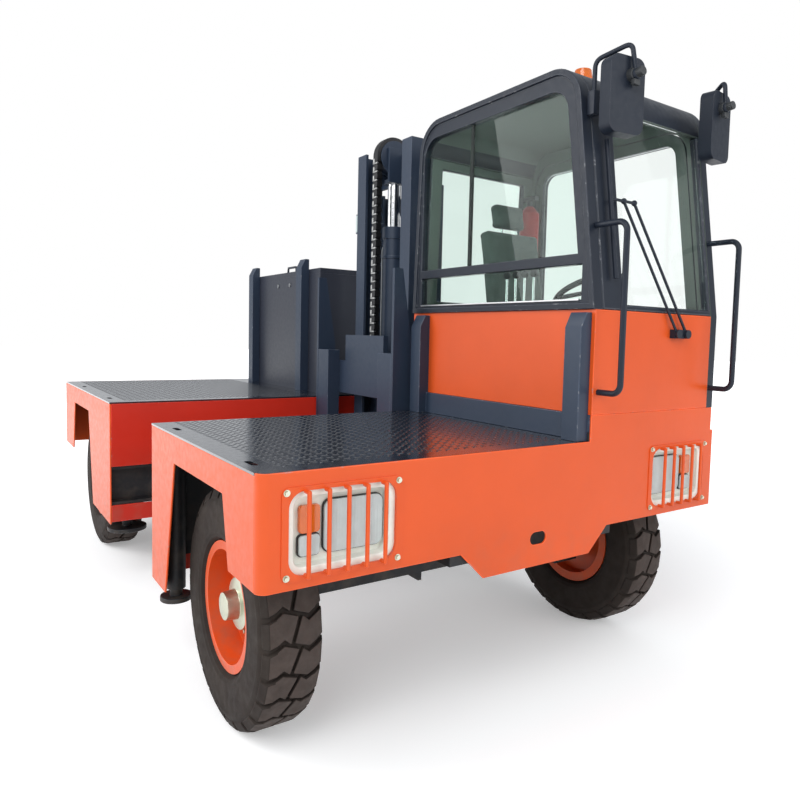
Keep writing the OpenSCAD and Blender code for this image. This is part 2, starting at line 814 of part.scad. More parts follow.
// Fixed panes: two side panes, the low side pane, windscreen and rear window.
module cab_glass() {
    pane_y = cab_near + wall_t / 2;
    split_x = win_x0 + 440;
    color("lightblue") union() {
        for (p = [[cab_rear, split_x + 20, 0], [split_x - 20, front_x, glass_t + 2]])
            intersection() {
                translate([0, pane_y + p[2], 0]) rotate([90, 0, 0]) linear_extrude(glass_t)
                    polygon(window_outline(win_bar_z1));
                box3([p[0], cab_near, win_bar_z1], [p[1], cab_near + wall_t, cab_top]);
            }
        box3([low_win[0] + fit, pane_y - glass_t, low_win[1] + fit], [low_win[2] - fit, pane_y,
            low_win[3] - fit]);
        intersection() {
            difference() {
                cab_solid(wall_t / 2 - glass_t, floor_z, screen_y0 + fit, screen_y1 - fit);
                cab_solid(wall_t / 2, floor_z - 1, band_y0, band_y1);
            }
            box3([cab_lean_x - 300, band_y0, screen_z0 + fit], [front_x, band_y1, roof_z - fit]);
        }
        intersection() {
            difference() {
                cab_solid(wall_t / 2 - glass_t, floor_z, band_y0, band_y1);
                cab_solid(wall_t / 2, floor_z - 1, band_y0 - 1, band_y1 + 1);
            }
            box3([cab_rear, band_y0 + rear_win_in + fit, rear_win_z0 + fit],
                [seat_x, band_y1 - rear_win_in - fit, roof_z - rear_win_top - fit]);
        }
    }
}

// Inside the cab.
seat_x = front_x - 930;
seat_y = (cab_near + cab_far) / 2;
seat_z = floor_z + 420;
pedestal_l = 400;
pedestal_w = 360;
pedestal_h = 300;
pan_l = 480;
pan_w = 440;
cushion_l = 440;
cushion_h = 110;
back_t = 110;
back_w = 460;
back_h = 560;
rest_t = 90;
rest_w = 260;
rest_h = 170;
back_lean = 10;

module seat_base() {
    color("dimgray") union() {
        translate([seat_x - pedestal_l / 2, seat_y - pedestal_w / 2, floor_z])
            cube([pedestal_l, pedestal_w, pedestal_h]);
        translate([seat_x - pan_l / 2, seat_y - pan_w / 2, floor_z + pedestal_h - 1])
            cube([pan_l, pan_w, seat_z - floor_z - pedestal_h + 1]);
    }
}

module seat_cushions() {
    color("gray") union() {
        translate([seat_x - 160, seat_y - cushion_w / 2, seat_z + fit])
            cube([cushion_l, cushion_w, cushion_h]);
        translate([seat_x - 170, seat_y, seat_z + cushion_h - 1]) rotate([0, -back_lean, 0]) union() {
            translate([0, -back_w / 2, 0]) cube([back_t, back_w, back_h]);
            translate([(back_t - rest_t) / 2, -rest_w / 2, back_h + fit]) cube([rest_t, rest_w, rest_h]);
        }
    }
}

column_x = front_x - 330;
column_l = 150;
column_w = 120;
column_h = 420;
column_tilt = 25;
shaft_d = 70;
shaft_l = 330;
grip_r = 15;
wheel_r = 190;

module steering_wheel() {
    color("black") translate([column_x, seat_y, floor_z]) union() {
        translate([-column_w / 2, -column_w / 2, 0]) cube([column_l, column_w, column_h]);
        translate([0, 0, column_h - 20]) rotate([0, -column_tilt, 0]) union() {
            cylinder(d = shaft_d, h = shaft_l);
            translate([0, 0, shaft_l - 10]) rotate_extrude() translate([wheel_r, 0]) circle(grip_r, $fn = 24);
            for (a = [0, 120, 240]) rotate([0, 0, a]) translate([0, -grip_r, shaft_l - 18])
                cube([wheel_r - 2, 2 * grip_r, grip_r - 1]);
        }
    }
}

lever_xs = [0, 70, 140, 210];
lever_h = 200;
cushion_w = 480;
console_gap = 12;
console_l = 420;
console_h = 560;
console_w = (cab_w - cushion_w) / 2 - wall_t - console_gap - 45;

module control_console() {
    color("dimgray") translate([seat_x + 120, cab_near + wall_t + console_gap, floor_z]) union() {
        cube([console_l, console_w, console_h]);
        for (x = lever_xs) translate([60 + x, console_w / 2, console_h - 1]) union() {
            cylinder(d = 14, h = lever_h);
            translate([0, 0, lever_h + 10]) sphere(d = 42);
        }
    }
}

// The extinguisher hangs on the rear wall beside the door.
bottle_d = 130;
bottle_h = 420;
neck_d = 44;
neck_h = 50;
bottle_z = sill_z + 280;

module fire_extinguisher() {
    wall_x = cab_rear + wall_t + rear_lean * (bottle_z + bottle_h - sill_z) / (roof_z - sill_z);
    color("red") translate([wall_x + bottle_d / 2 + fit, band_y1 - bottle_d / 2 - 15, bottle_z]) union() {
        cylinder(d = bottle_d, h = bottle_h);
        translate([0, 0, bottle_h - 1]) cylinder(d1 = bottle_d, d2 = neck_d, h = neck_h);
        translate([0, 0, bottle_h + neck_h - 2]) cylinder(d = neck_d, h = neck_h);
        translate([-neck_d, -18, bottle_h + 80]) cube([110, 36, 30]);
    }
}

// Grab handles and mirror arms: bent tubes at the front corners of the cab.
tube_d = 28;
handle_z0 = seam_z + 105;
handle_z1 = sill_z + 385;
handle_in = 36;
handle_ys = [cab_near + handle_in, cab_far - handle_in];
handle_r = 45;
mirror_x = front_x + 1;
mirror_z = cab_top - 183;
mirror_in = 113;
mirror_w = 200;
mirror_h = 340;
mirror_t = 70;
mirror_toe = 8;
ball_d = 48;
ball_out = 30;
ball_up = 85;
arm_d = 22;
arm_in = 38;
arm_top = cab_top + 38;
arm_bend = cab_top - 15;
arm_foot = cab_top - 190;

// Bent tube in the XZ plane: up from the root, forward, and down, with round bends.
module elbow(x, z, d, r, turn) {
    translate([x, 0, z]) rotate([90, turn, 0]) rotate_extrude(angle = 90) translate([r, 0]) circle(d = d);
}

module grab_handle() {
    bar_x = front_x + handle_out - tube_d / 2;
    top_x = round(front_x - front_lean * (handle_z1 - sill_z) / (roof_z - sill_z) + 4);
    translate([bar_x, 0, handle_z0 + handle_r])
        cylinder(d = tube_d, h = handle_z1 - handle_z0 - 2 * handle_r);
    translate([front_x + fit, 0, handle_z0]) rotate([0, 90, 0])
        cylinder(d = tube_d, h = bar_x - handle_r - front_x - fit);
    translate([top_x, 0, handle_z1]) rotate([0, 90, 0]) cylinder(d = tube_d, h = bar_x - handle_r - top_x);
    elbow(bar_x - handle_r, handle_z0 + handle_r, tube_d, handle_r, 90);
    elbow(bar_x - handle_r, handle_z1 - handle_r, tube_d, handle_r, 0);
}

// Straight rod between two points.
module rod(p, q, d) {
    v = q - p;
    translate(p) rotate([0, acos(v[2] / norm(v)), atan2(v[1], v[0])]) cylinder(d = d, h = norm(v));
}

// Everything at the cab's front corners comes on both sides, mirrored about the cab's middle.
module both_sides() {
    children();
    translate([0, cab_near + cab_far, 0]) mirror([0, 1, 0]) children();
}

// The middle of the mirror's ball joint.
mirror_y = cab_near + mirror_in;
ball = [mirror_x + (mirror_t / 2 + ball_out) * cos(mirror_toe),
    mirror_y - (mirror_t / 2 + ball_out) * sin(mirror_toe) + 20,
    mirror_z + ball_up];

// The mirror's arm: up from a bracket on the pillar, over the head and down to its ball joint.
module mirror_arm() {
    pad_z = arm_foot - 3 * arm_d;
    pad_x = front_at(pad_z) + 4 * fit;
    foot = [pad_x + arm_d, cab_near + arm_in, arm_foot];
    bend = [foot[0], foot[1], arm_bend];
    top = [mirror_x + mirror_t / 2 + 10, mirror_y, arm_top];
    end = ball + (top - ball) * (ball_d / 2 + fit) / norm(top - ball);
    rod(foot, bend, arm_d);
    rod(bend, top, arm_d);
    rod(top, end, arm_d);
    for (p = [bend, top])
        translate(p) rotate([90, 0, 0]) cylinder(d = arm_d + 3, h = arm_d + 3, center = true);
    translate([pad_x, foot[1] - arm_d, pad_z]) cube([2 * arm_d, 2 * arm_d, 5 * arm_d]);
}

module cab_rails() {
    color("black") union() {
        for (y = handle_ys) translate([0, y, 0]) grab_handle();
        both_sides() mirror_arm();
    }
}

module mirror_heads() {
    color("black") both_sides() union() {
        translate([mirror_x, mirror_y, mirror_z]) rotate([0, 0, -mirror_toe])
            rounded_slab(mirror_w, mirror_h, 45, mirror_t);
        rod([mirror_x, ball[1], ball[2]], ball, ball_d * 0.6);
        translate(ball) sphere(d = ball_d);
    }
}

// The wiper: two arms from a pivot box up to a link that holds the blade upright.
wiper_y = cab_far - 378;
wiper_z = sill_z - 100;
wiper_off = 28;
wiper_gap = 76;
wiper_d = 14;
link_y = wiper_y - 366;
link_z = sill_z + 515;
blade_y = cab_near + 118;
blade_z = [sill_z + 145, sill_z + 790];
blade_w = 22;

function off_screen(y, z) = [front_at(z) + wiper_off, y, z];

module wiper() {
    color("black") union() {
        translate([front_x, wiper_y - blade_w, wiper_z - blade_w])
            cube([wiper_off, wiper_gap + 2 * blade_w, 2 * blade_w]);
        for (dy = [0, wiper_gap]) {
            rod([front_x + wiper_off, wiper_y + dy, wiper_z], off_screen(link_y + dy, link_z), wiper_d);
            translate([front_x, wiper_y + dy, wiper_z]) rotate([0, 90, 0])
                cylinder(d = 2 * blade_w, h = wiper_off + wiper_d);
            translate(off_screen(link_y + dy, link_z)) sphere(d = 2 * wiper_d);
        }
        rod(off_screen(blade_y, link_z), off_screen(link_y + wiper_gap, link_z), wiper_d);
        rod(off_screen(blade_y, blade_z[0]), off_screen(blade_y, blade_z[1]), blade_w);
    }
}

// Load posts and kick plate along the cab's load side.
post_w = 100;
post_t = 70;
post_drop = 15;
post_gap = 31;
post_front = 20;
post_back = 200;
kick_t = 15;

module cab_posts() {
    first = well_fx + post_gap;
    last = front_x - post_front - post_w;
    color("slategray") union() {
        for (x = [first, last]) load_post(x, cab_near, sill_z - post_drop);
        box3([first + post_w - 1, cab_near - kick_t, deck_h], [last + 1, cab_near, seam_z]);
        box3([cab_rear, cab_near, floor_z], [front_x - panel_t, cab_near + kick_t, seam_z]);
    }
}

hood_far = far_y - side_in;
hood_near = load_y + load_depth;
hood_w = hood_far - hood_near;
hood_fx = well_rx - hood_back;
hood_rx = hood_fx - hood_l;
hood_t = 12;
lid_t = 40;

// Upright post with a slanted top, load face at y - post_t.
module load_post(x, y, top) {
    translate([x, 0, 0]) rotate([90, 0, 90]) linear_extrude(post_w)
        polygon([[y - post_t, deck_h], [y, deck_h], [y, top], [y - post_t / 2, top], [y - post_t,
            top - post_t]]);
}

module hood_posts() {
    color("slategray") for (x = [hood_rx + 15, hood_fx - post_back - post_w])
        load_post(x, hood_near, hood_top + post_over);
}

module hood_box() {
    color("darkslategray") difference() {
        box3([hood_rx, hood_near, deck_h], [hood_fx, hood_far, hood_top - lid_t]);
        box3([hood_rx + hood_t, hood_near + hood_t, deck_h - 1], [hood_fx - hood_t, hood_far - hood_t,
            hood_top]);
    }
    color("darkslategray") for (x = lid_knuckle_xs)
        translate([x - lid_knuckle_l - fit, lid_hinge_y, lid_hinge_z]) union() {
        rotate([0, 90, 0]) cylinder(d = lid_knuckle_d, h = lid_knuckle_l);
        translate([0, hood_far - lid_hinge_y, -30]) cube([lid_knuckle_l, 5, 30]);
    }
}

lid_hinge_y = hood_far + 8;
lid_hinge_z = hood_top - lid_t;
lid_knuckle_d = 14;
lid_knuckle_l = 80;
lid_knuckle_xs = [hood_rx + 150, hood_fx - 150];
pull_w = 190;
pull_h = 60;
pull_t = 16;
pull_in = 68;

module hood_lid() {
    color("darkslategray") union() {
        box3([hood_rx, hood_near, hood_top - lid_t + fit], [hood_fx, hood_far, hood_top]);
        for (x = lid_knuckle_xs) translate([x, lid_hinge_y, lid_hinge_z]) union() {
            rotate([0, 90, 0]) cylinder(d = lid_knuckle_d, h = lid_knuckle_l);
            translate([0, hood_far - lid_hinge_y - 1, 2]) cube([lid_knuckle_l, 6, 28]);
        }
        translate([(hood_rx + hood_fx) / 2, hood_near + pull_in, hood_top - 1]) rotate([90, 0, 0])
            linear_extrude(pull_t, center = true) difference() {
                polygon([[-pull_w / 2, 0], [pull_w / 2, 0], [pull_w / 2 - pull_t, pull_h],
                    [pull_t - pull_w / 2, pull_h]]);
                translate([pull_t - pull_w / 2, 0]) square([pull_w - 2 * pull_t, pull_h - pull_t]);
            }
    }
}

// Mast: trolley, fixed stage with lift cylinder, moving stage, chain, carriage and forks.
inner_flange = 115;
steel_t = 20;
tie_t = 24;
tie_h = 120;
inner_z0 = deck_h - 393;
trolley_z0 = rail_z0 - 251;
trolley_t = 101;
cyl_y = mast_y + 95;
barrel_top = inner_top - 535;
head_z = inner_top - 240;
collar_t = 8;
chain_w = 56;
chain_t = 42;
chain_room = 16;
sheave_y = cyl_y + (cyl_d + chain_t) / 2 + chain_room - sheave_r;
sheave_z = inner_top - 70;
side_gap = 22;
chain_foot = deck_h + 387;
chain_back_l = 1300;
anchor_z = sheave_z - chain_back_l - 90;
lug_t = 12;
lug_x = chain_w / 2 + 11;

module channel(x, s, y0, depth, width, z0, z1) {
    x0 = s > 0 ? x - width : x;
    open_x = s > 0 ? x0 - 1 : x0 + steel_t;
    difference() {
        box3([x0, y0, z0], [x0 + width, y0 + depth, z1]);
        box3([open_x, y0 + steel_t, z0 - 1], [open_x + width - steel_t + 1, y0 + depth - steel_t, z1 + 1]);
    }
}

module mast_trolley() {
    y1 = outer_y0 + outer_depth;
    plate_x = well_l / 2 - side_gap;
    color("slategray") translate([mast_x, 0, 0]) union() {
        for (s = [-1, 1]) {
            translate([s * (plate_x - 15) - 15, outer_y0 - 110, rail_z0 - 151]) cube([30, 345, rail_h + 231]);
            for (y = roller_ys)
                translate([s * (plate_x - 15), y, (rail_z0 + rail_z1) / 2]) rotate([0, 90 * s, 0])
                    cylinder(d = roller_d, h = side_gap + panel_t + rail_depth - rail_t);
        }
        translate([-plate_x, outer_y0 - 20, trolley_z0]) cube([2 * plate_x, outer_depth + 60, trolley_t]);
        translate([-plate_x, y1, rail_z1 - 100]) cube([2 * plate_x, 40, 160]);
    }
}

module mast_outer() {
    w = mast_w / 2 - 15;
    foot = trolley_z0 + trolley_t;
    back = outer_y0 + outer_depth;
    color("slategray") translate([mast_x, 0, 0]) union() {
        for (s = [-1, 1]) channel(s * w, s, outer_y0, outer_depth, 100, foot, outer_top);
        for (z = [foot, anchor_z, outer_top - tie_h - 20]) translate([-w, back - tie_t, z])
            cube([2 * w, tie_t, tie_h]);
        difference() {
            translate([0, cyl_y, 0]) union() {
                translate([0, 0, foot]) cylinder(d = cyl_d, h = barrel_top - foot);
                for (c = [[barrel_top - 80, 80], [barrel_top - 215, 18]]) translate([0, 0, c[0]])
                    cylinder(d = cyl_d + 2 * collar_t, h = c[1]);
            }
            translate([0, cyl_y, rod_foot - rod_down]) cylinder(d = rod_d + 2 * fit, h = barrel_top);
        }
        translate([-60, cyl_y, foot]) cube([120, back - cyl_y, 60]);
        for (s = [-1, 1]) translate([s * lug_x - lug_t / 2, cyl_y + cyl_d / 2 - 20, anchor_z])
            cube([lug_t, back - cyl_y - cyl_d / 2 + 10, tie_h]);
    }
}

rod_in = 1250;
rod_foot = barrel_top - rod_in;
rod_down = 475;
cheek_x = 65;
cheek_t = 20;
flange_t = 10;
flange_in = 5;
foot_gap = 90;
work_lamp = [56, 70, 140];
work_lamp_z = inner_top - 540;
bracket = [20, 40, 66];
bracket_z = inner_top - 290;

// A sheave with two flanges, the rod and a crosshead; a work lamp stands out from the rear upright.
module mast_inner() {
    w = mast_w / 2;
    back = mast_y + inner_depth;
    color("slategray") translate([mast_x, 0, 0]) union() {
        for (s = [-1, 1]) channel(s * w, s, mast_y, inner_depth, inner_flange, inner_z0, inner_top);
        translate([-w, back - tie_t, head_z]) cube([2 * w, tie_t, 200]);
        for (x = [-w, foot_gap]) translate([x, back - tie_t, inner_z0]) cube([w - foot_gap, tie_t, tie_h]);
        translate([0, cyl_y, rod_foot]) cylinder(d = rod_d, h = head_z - rod_foot + 20);
        for (s = [-1, 1]) translate([s * (cheek_x - cheek_t / 2) - cheek_t / 2, sheave_y - 70, head_z])
            cube([cheek_t, back - sheave_y + 70, sheave_z - head_z + 60]);
        translate([-cheek_x, cyl_y - 60, head_z]) cube([2 * cheek_x, 110, 30]);
        translate([0, sheave_y, sheave_z]) rotate([0, 90, 0]) union() {
            cylinder(d = 50, h = 2 * cheek_x - 10, center = true);
            cylinder(r = sheave_r - chain_t / 2 - 1, h = chain_w + 4, center = true);
            for (s = [-1, 1]) translate([0, 0, s * (chain_w / 2 + 1 + flange_t / 2)])
                cylinder(r = sheave_r - flange_in, h = flange_t, center = true);
        }
        translate([1 - w - work_lamp[0], mast_y + steel_t, work_lamp_z]) cube(work_lamp);
        translate([1 - w - bracket[0], mast_y + steel_t, bracket_z]) cube(bracket);
    }
}

// The chain's runs as links with narrow waists, joined by a half turn over the sheave.
link_l = 57;
waist = 9;
waist_l = 23;

function link_edge(s, z, n) = [for (i = [0:n - 1], p = [[0, 0], [link_l - waist_l, 0],
    [link_l - waist_l, waist], [link_l, waist]]) [s * (chain_w / 2 - p[1]), z - i * link_l - p[0]]];

module chain_run(y, l) {
    n = floor(l / link_l);
    edge = link_edge(1, sheave_z, n);
    back = link_edge(-1, sheave_z, n);
    translate([0, y + chain_t / 2, 0]) rotate([90, 0, 0]) linear_extrude(chain_t)
        polygon(concat(edge, [[chain_w / 2 - waist, sheave_z - l], [waist - chain_w / 2, sheave_z - l]],
            [for (i = [len(back) - 1:-1:0]) back[i]]));
}

module lift_chain() {
    color("dimgray") translate([mast_x, 0, 0]) union() {
        chain_run(sheave_y - sheave_r, sheave_z - chain_foot);
        chain_run(sheave_y + sheave_r, chain_back_l);
        translate([-chain_w / 2, sheave_y, sheave_z - 0.5]) rotate([90, 0, 90]) rotate_extrude(angle = 180)
            translate([sheave_r - chain_t / 2, 0]) square([chain_t, chain_w]);
    }
}

carriage_half = well_l / 2 - 16;
fork_y = mast_y - 222;
fork_t = 94;
heel_t = 70;
tip_t = 15;
bar_y = fork_y + fork_t;
bar_t = 35;
arm_t = 25;
bar_z0 = deck_h + 44;
bar_h = 233;
head_half = 260;
head_h = 185;
arm_depth = 140;
arm_over = 600;
shank_over = 75;
hanger_z = bar_z0 + 13;
hanger_h = 290;
carriage_rollers = [hanger_z + 70, hanger_z + 220];

module fork_carriage() {
    bar_z1 = bar_z0 + bar_h;
    arm_z1 = bar_z1 + arm_over;
    hanger_x = mast_w / 2 - inner_flange - 48;
    hanger_l = mast_y + inner_depth - 36 - bar_y - bar_t + 1;
    color("slategray") translate([mast_x, 0, 0]) union() {
        box3([-carriage_half, bar_y, bar_z0], [carriage_half, bar_y + bar_t, bar_z1]);
        box3([-head_half, bar_y, bar_z1 - 1], [head_half, bar_y + bar_t, bar_z1 + head_h - 1]);
        for (s = [-1, 1]) translate([s * lug_x - lug_t / 2, bar_y + bar_t - 1, chain_foot])
            cube([lug_t, sheave_y - sheave_r - bar_y - 10, bar_z1 + head_h - 1 - chain_foot]);
        for (s = [-1, 1]) {
            translate([s * (carriage_half - arm_t / 2) - arm_t / 2, 0, 0]) rotate([90, 0, 90])
                linear_extrude(arm_t)
                polygon([[fork_y, fork_z], [fork_y + arm_depth, fork_z], [fork_y + arm_depth, arm_z1 - 490],
                    [fork_y + 60, arm_z1], [fork_y, arm_z1]]);
            translate([s * hanger_x - lug_t, bar_y + bar_t - 1, hanger_z])
                cube([2 * lug_t, hanger_l, hanger_h]);
            for (z = carriage_rollers) translate([s * (hanger_x + 3), mast_y + inner_depth / 2, z])
                rotate([0, 90 * s, 0])
                cylinder(d = inner_depth - 2 * steel_t - 2 * fit, h = mast_w / 2 - steel_t - hanger_x - 8);
        }
    }
}

module forks() {
    x1 = carriage_half - arm_t - 1;
    shank_z = bar_z0 + bar_h + shank_over;
    color("slategray") for (s = [-1, 1]) translate([mast_x + s * (x1 - fork_w / 2) - fork_w / 2, 0, 0])
        rotate([90, 0, 90]) linear_extrude(fork_w)
            polygon([[fork_y, shank_z], [bar_y, shank_z], [bar_y, fork_z], [fork_y - fork_l, fork_z],
                [fork_y - fork_l, fork_z + tip_t], [fork_y, fork_z + heel_t]]);
}

chassis_frame();
well_panels();
front_panel();
load_side_panels();
far_side_panels();
rear_panel();
front_deck();
rear_deck();
cab_posts();
hood_posts();
hood_box();
engine_block();
hydraulic_tank();
far_steps();
front_axle();
rear_axle();
headlamp_housings();
headlamp_lenses();
amber_lamps();
headlamp_guards();
tail_lamps();
cab_floor();
cab_lower_panels();
cab_side_frame();
cab_front_frame();
cab_roof();
cab_rear_wall();
cab_far_frame();
cab_glass();
seat_base();
seat_cushions();
steering_wheel();
control_console();
fire_extinguisher();
cab_rails();
mirror_heads();
wiper();
cab_door();
door_glass();
hood_lid();
knuckle_l();
knuckle_r();
rim_fl();
rim_fr();
rim_rl();
rim_rr();
tyre_fl();
tyre_fr();
tyre_rl();
tyre_rr();
jack_foot_front();
jack_foot_rear();
mast_trolley();
mast_outer();
mast_inner();
lift_chain();
fork_carriage();
forks();
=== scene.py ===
import json
import math

import bpy
from mathutils import Matrix, Vector

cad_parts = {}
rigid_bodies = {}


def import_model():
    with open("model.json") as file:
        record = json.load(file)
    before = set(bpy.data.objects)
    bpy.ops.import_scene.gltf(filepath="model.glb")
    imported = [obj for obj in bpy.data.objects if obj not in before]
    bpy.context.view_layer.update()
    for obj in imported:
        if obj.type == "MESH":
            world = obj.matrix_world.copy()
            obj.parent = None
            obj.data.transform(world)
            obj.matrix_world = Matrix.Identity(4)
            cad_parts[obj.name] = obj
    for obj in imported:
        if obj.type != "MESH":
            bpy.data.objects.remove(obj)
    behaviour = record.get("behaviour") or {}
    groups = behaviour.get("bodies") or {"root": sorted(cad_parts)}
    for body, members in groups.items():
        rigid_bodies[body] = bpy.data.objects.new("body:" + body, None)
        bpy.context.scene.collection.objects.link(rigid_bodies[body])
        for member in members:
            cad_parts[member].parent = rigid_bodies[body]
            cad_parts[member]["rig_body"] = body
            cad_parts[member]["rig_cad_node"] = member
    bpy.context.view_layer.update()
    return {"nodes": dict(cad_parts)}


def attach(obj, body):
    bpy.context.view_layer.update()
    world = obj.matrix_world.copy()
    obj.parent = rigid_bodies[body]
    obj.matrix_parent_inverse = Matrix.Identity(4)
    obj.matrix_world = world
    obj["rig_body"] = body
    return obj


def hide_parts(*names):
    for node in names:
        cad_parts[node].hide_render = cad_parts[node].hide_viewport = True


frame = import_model()

bl_info = {
    "name": "Side loader forklift",
    "version": (1, 0, 0),
    "blender": (4, 5, 0),
    "location": "3D View > Sidebar > Side loader",
    "description": "Finishes and fine pieces for the side loader's frame",
    "category": "Object",
}

# Lengths are in metres, in the frame's own axes: +X forward, +Y to the cab side, +Z up.
STEEL = (0.30, 0.31, 0.32)
ZINC = (0.60, 0.62, 0.50)
DUST = (0.20, 0.15, 0.11)
CHROME = (0.72, 0.73, 0.74)
ROD_CHROME = (0.80, 0.81, 0.82)
SILVER = (0.80, 0.82, 0.84)
SILL_STEEL = (0.62, 0.63, 0.64)
PIPE_STEEL = (0.16, 0.17, 0.18)
CHAIN_DARK = (0.05, 0.05, 0.052)
CHAIN_BRIGHT = (0.46, 0.46, 0.45)
CLEAR_LENS = (0.75, 0.86, 0.85)
SEAL_DARK = (0.008, 0.008, 0.009)
SEAL_PALE = (0.016, 0.016, 0.017)

# Paint's usual roughness and mirroring, and the duller mirroring of the cab's paint.
PAINT_GLOSS = 0.34
PAINT_SHINE = 0.3
CAB_SHINE = 0.24

# Corners closer than these are merged, in frame copies and in new pieces; faces flatter than this are one.
COPY_MERGE = 0.00002
SEAM_MERGE = 0.00005
FLAT_DEGREES = 0.6

# The share of a normal along an axis above which a face looks that way.
FACING = 0.9
BEND_STEPS = 8


def colour_setting(label, value, about):
    """A colour that a user may change."""
    return bpy.props.FloatVectorProperty(
        name=label, description=about, subtype="COLOR", size=3, min=0.0, max=1.0, default=value)


def length_setting(label, value, about):
    """A length that a user may change."""
    return bpy.props.FloatProperty(
        name=label, description=about, default=value, min=0.0, unit="LENGTH", precision=4)


class SideloaderColours(bpy.types.PropertyGroup):
    """Colours of the paints, plastics and rubbers."""
    orange: colour_setting("Orange paint", (0.70, 0.090, 0.014), "Outer panels")
    red: colour_setting("Red paint", (0.58, 0.026, 0.012), "Mast well faces")
    rim: colour_setting("Rim paint", (0.70, 0.085, 0.014), "Wheel rims")
    mast: colour_setting("Mast paint", (0.026, 0.040, 0.068), "Mast, carriage and load posts")
    hood: colour_setting("Hood paint", (0.030, 0.034, 0.048), "Engine hood")
    frame: colour_setting("Frame paint", (0.012, 0.013, 0.015), "Chassis, axles and steps")
    cab: colour_setting("Cab paint", (0.013, 0.018, 0.029), "Cab frames, mirrors and handles")
    deck: colour_setting("Deck paint", (0.016, 0.018, 0.024), "Tread plate decks")
    tyre: colour_setting("Tyre rubber", (0.024, 0.018, 0.0155), "Tyres")
    trim: colour_setting("Cab trim", (0.030, 0.033, 0.036), "Console, column and floor")
    lining: colour_setting("Cab lining", (0.125, 0.155, 0.138), "Inner faces of the cab")
    seat: colour_setting("Seat cloth", (0.085, 0.105, 0.098), "Seat cushions")
    lamp: colour_setting("Lamp moulding", (0.86, 0.90, 0.82), "Headlamp housings")
    amber: colour_setting("Amber lens", (0.90, 0.19, 0.015), "Flashers and beacon")
    tail: colour_setting("Red lens", (0.42, 0.008, 0.006), "Tail lamps")
    glass: colour_setting("Window tint", (0.965, 0.99, 0.98), "Cab windows")
    side_glass: colour_setting("Side window tint", (0.74, 0.86, 0.81), "Window on the load side")


class SideloaderSizes(bpy.types.PropertyGroup):
    """Sizes of the fine pieces."""
    edge: length_setting("Edge radius", 0.004, "Rounding of plate edges")
    cab_edge: length_setting("Cab edge radius", 0.014, "Rounding of the cab frame edges")
    tread_l: length_setting("Deck tread length", 0.035, "Length of a raised lens on the decks")
    tread_w: length_setting("Deck tread width", 0.012, "Width of a raised lens on the decks")
    tread_h: length_setting("Deck tread height", 0.0014, "Height of a raised lens on the decks")
    tread_step: length_setting("Deck tread spacing", 0.047, "Spacing of the raised lenses")
    groove: length_setting("Tyre groove depth", 0.018, "Depth of the tyre tread grooves")


# Selection and placing


def deselect():
    """Leave object mode with nothing selected."""
    if bpy.context.object and bpy.context.object.mode != "OBJECT":
        bpy.ops.object.mode_set(mode="OBJECT")
    bpy.ops.object.select_all(action="DESELECT")


def take(piece):
    """Make one piece the only selected and active one."""
    deselect()
    piece.select_set(True)
    bpy.context.view_layer.objects.active = piece
    return piece


def apply_place(piece):
    """Move a piece's place, turn and scale into its mesh."""
    take(piece)
    bpy.ops.object.transform_apply(location=True, rotation=True, scale=True)
    return piece


def apply_modifier(piece, kind, **settings):
    """Add one modifier, set it and apply it."""
    take(piece)
    modifier = piece.modifiers.new(kind.lower(), kind)
    for key, value in settings.items():
        setattr(modifier, key, value)
    bpy.ops.object.modifier_apply(modifier=modifier.name)
    return piece


def smooth(piece, angle=35):
    """Shade smooth up to an angle, with large faces kept flat."""
    take(piece)
    bpy.ops.object.shade_smooth_by_angle(angle=math.radians(angle))
    return apply_modifier(piece, "WEIGHTED_NORMAL", keep_sharp=True)


def round_edges(piece, radius, segments=2, angle=35):
    """Round the sharp edges; the rounded strips take the second material."""
    return apply_modifier(
        piece, "BEVEL", width=radius, segments=segments, limit_method="ANGLE",
        angle_limit=math.radians(angle), material=1 if len(piece.data.materials) > 1 else -1)


def coat(piece, *materials):
    """Give a piece its materials, the second for rounded edges."""
    piece.data.materials.clear()
    for material in materials:
        piece.data.materials.append(material)
    return piece


def join(pieces, name):
    """Join pieces into the first one."""
    deselect()
    for piece in pieces:
        piece.select_set(True)
    bpy.context.view_layer.objects.active = pieces[0]
    if len(pieces) > 1:
        bpy.ops.object.join()
    pieces[0].name = name
    pieces[0].data.name = name
    return pieces[0]


def seat(piece, name, node, slot_node=None):
    """Name a finished piece, and give it the body of a frame node. The slot_node argument is not used."""
    apply_place(piece)
    piece.name = name
    piece.data.name = name
    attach(piece, body_of(node))
    return piece


def body_of(node):
    """The body that carries a frame node."""
    return frame["nodes"][node]["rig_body"]


def copy_of(node):
    """A clean copy of a frame node's mesh: corners merged and flat faces whole."""
    take(frame["nodes"][node])
    bpy.ops.object.duplicate(linked=False)
    piece = bpy.context.object
    piece.parent = None
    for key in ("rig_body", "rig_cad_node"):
        del piece[key]
    bpy.ops.mesh.customdata_custom_splitnormals_clear()
    bpy.ops.object.mode_set(mode="EDIT")
    bpy.ops.mesh.select_all(action="SELECT")
    bpy.ops.mesh.remove_doubles(threshold=COPY_MERGE)
    bpy.ops.mesh.dissolve_limited(angle_limit=math.radians(FLAT_DEGREES))
    bpy.ops.object.mode_set(mode="OBJECT")
    return piece


def dress(node, radius, *materials, segments=2):
    """Stand a finished copy with rounded edges in for a frame node."""
    piece = coat(copy_of(node), *materials)
    if radius:
        round_edges(piece, radius, segments)
    smooth(piece)
    seat(piece, node + "_dressed", node)
    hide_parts(node)
    return piece


def span(node):
    """Low and high corners of a frame node."""
    piece = frame["nodes"][node]
    corners = [piece.matrix_world @ Vector(corner) for corner in piece.bound_box]
    low = Vector([min(corner[i] for corner in corners) for i in range(3)])
    high = Vector([max(corner[i] for corner in corners) for i in range(3)])
    return low, high


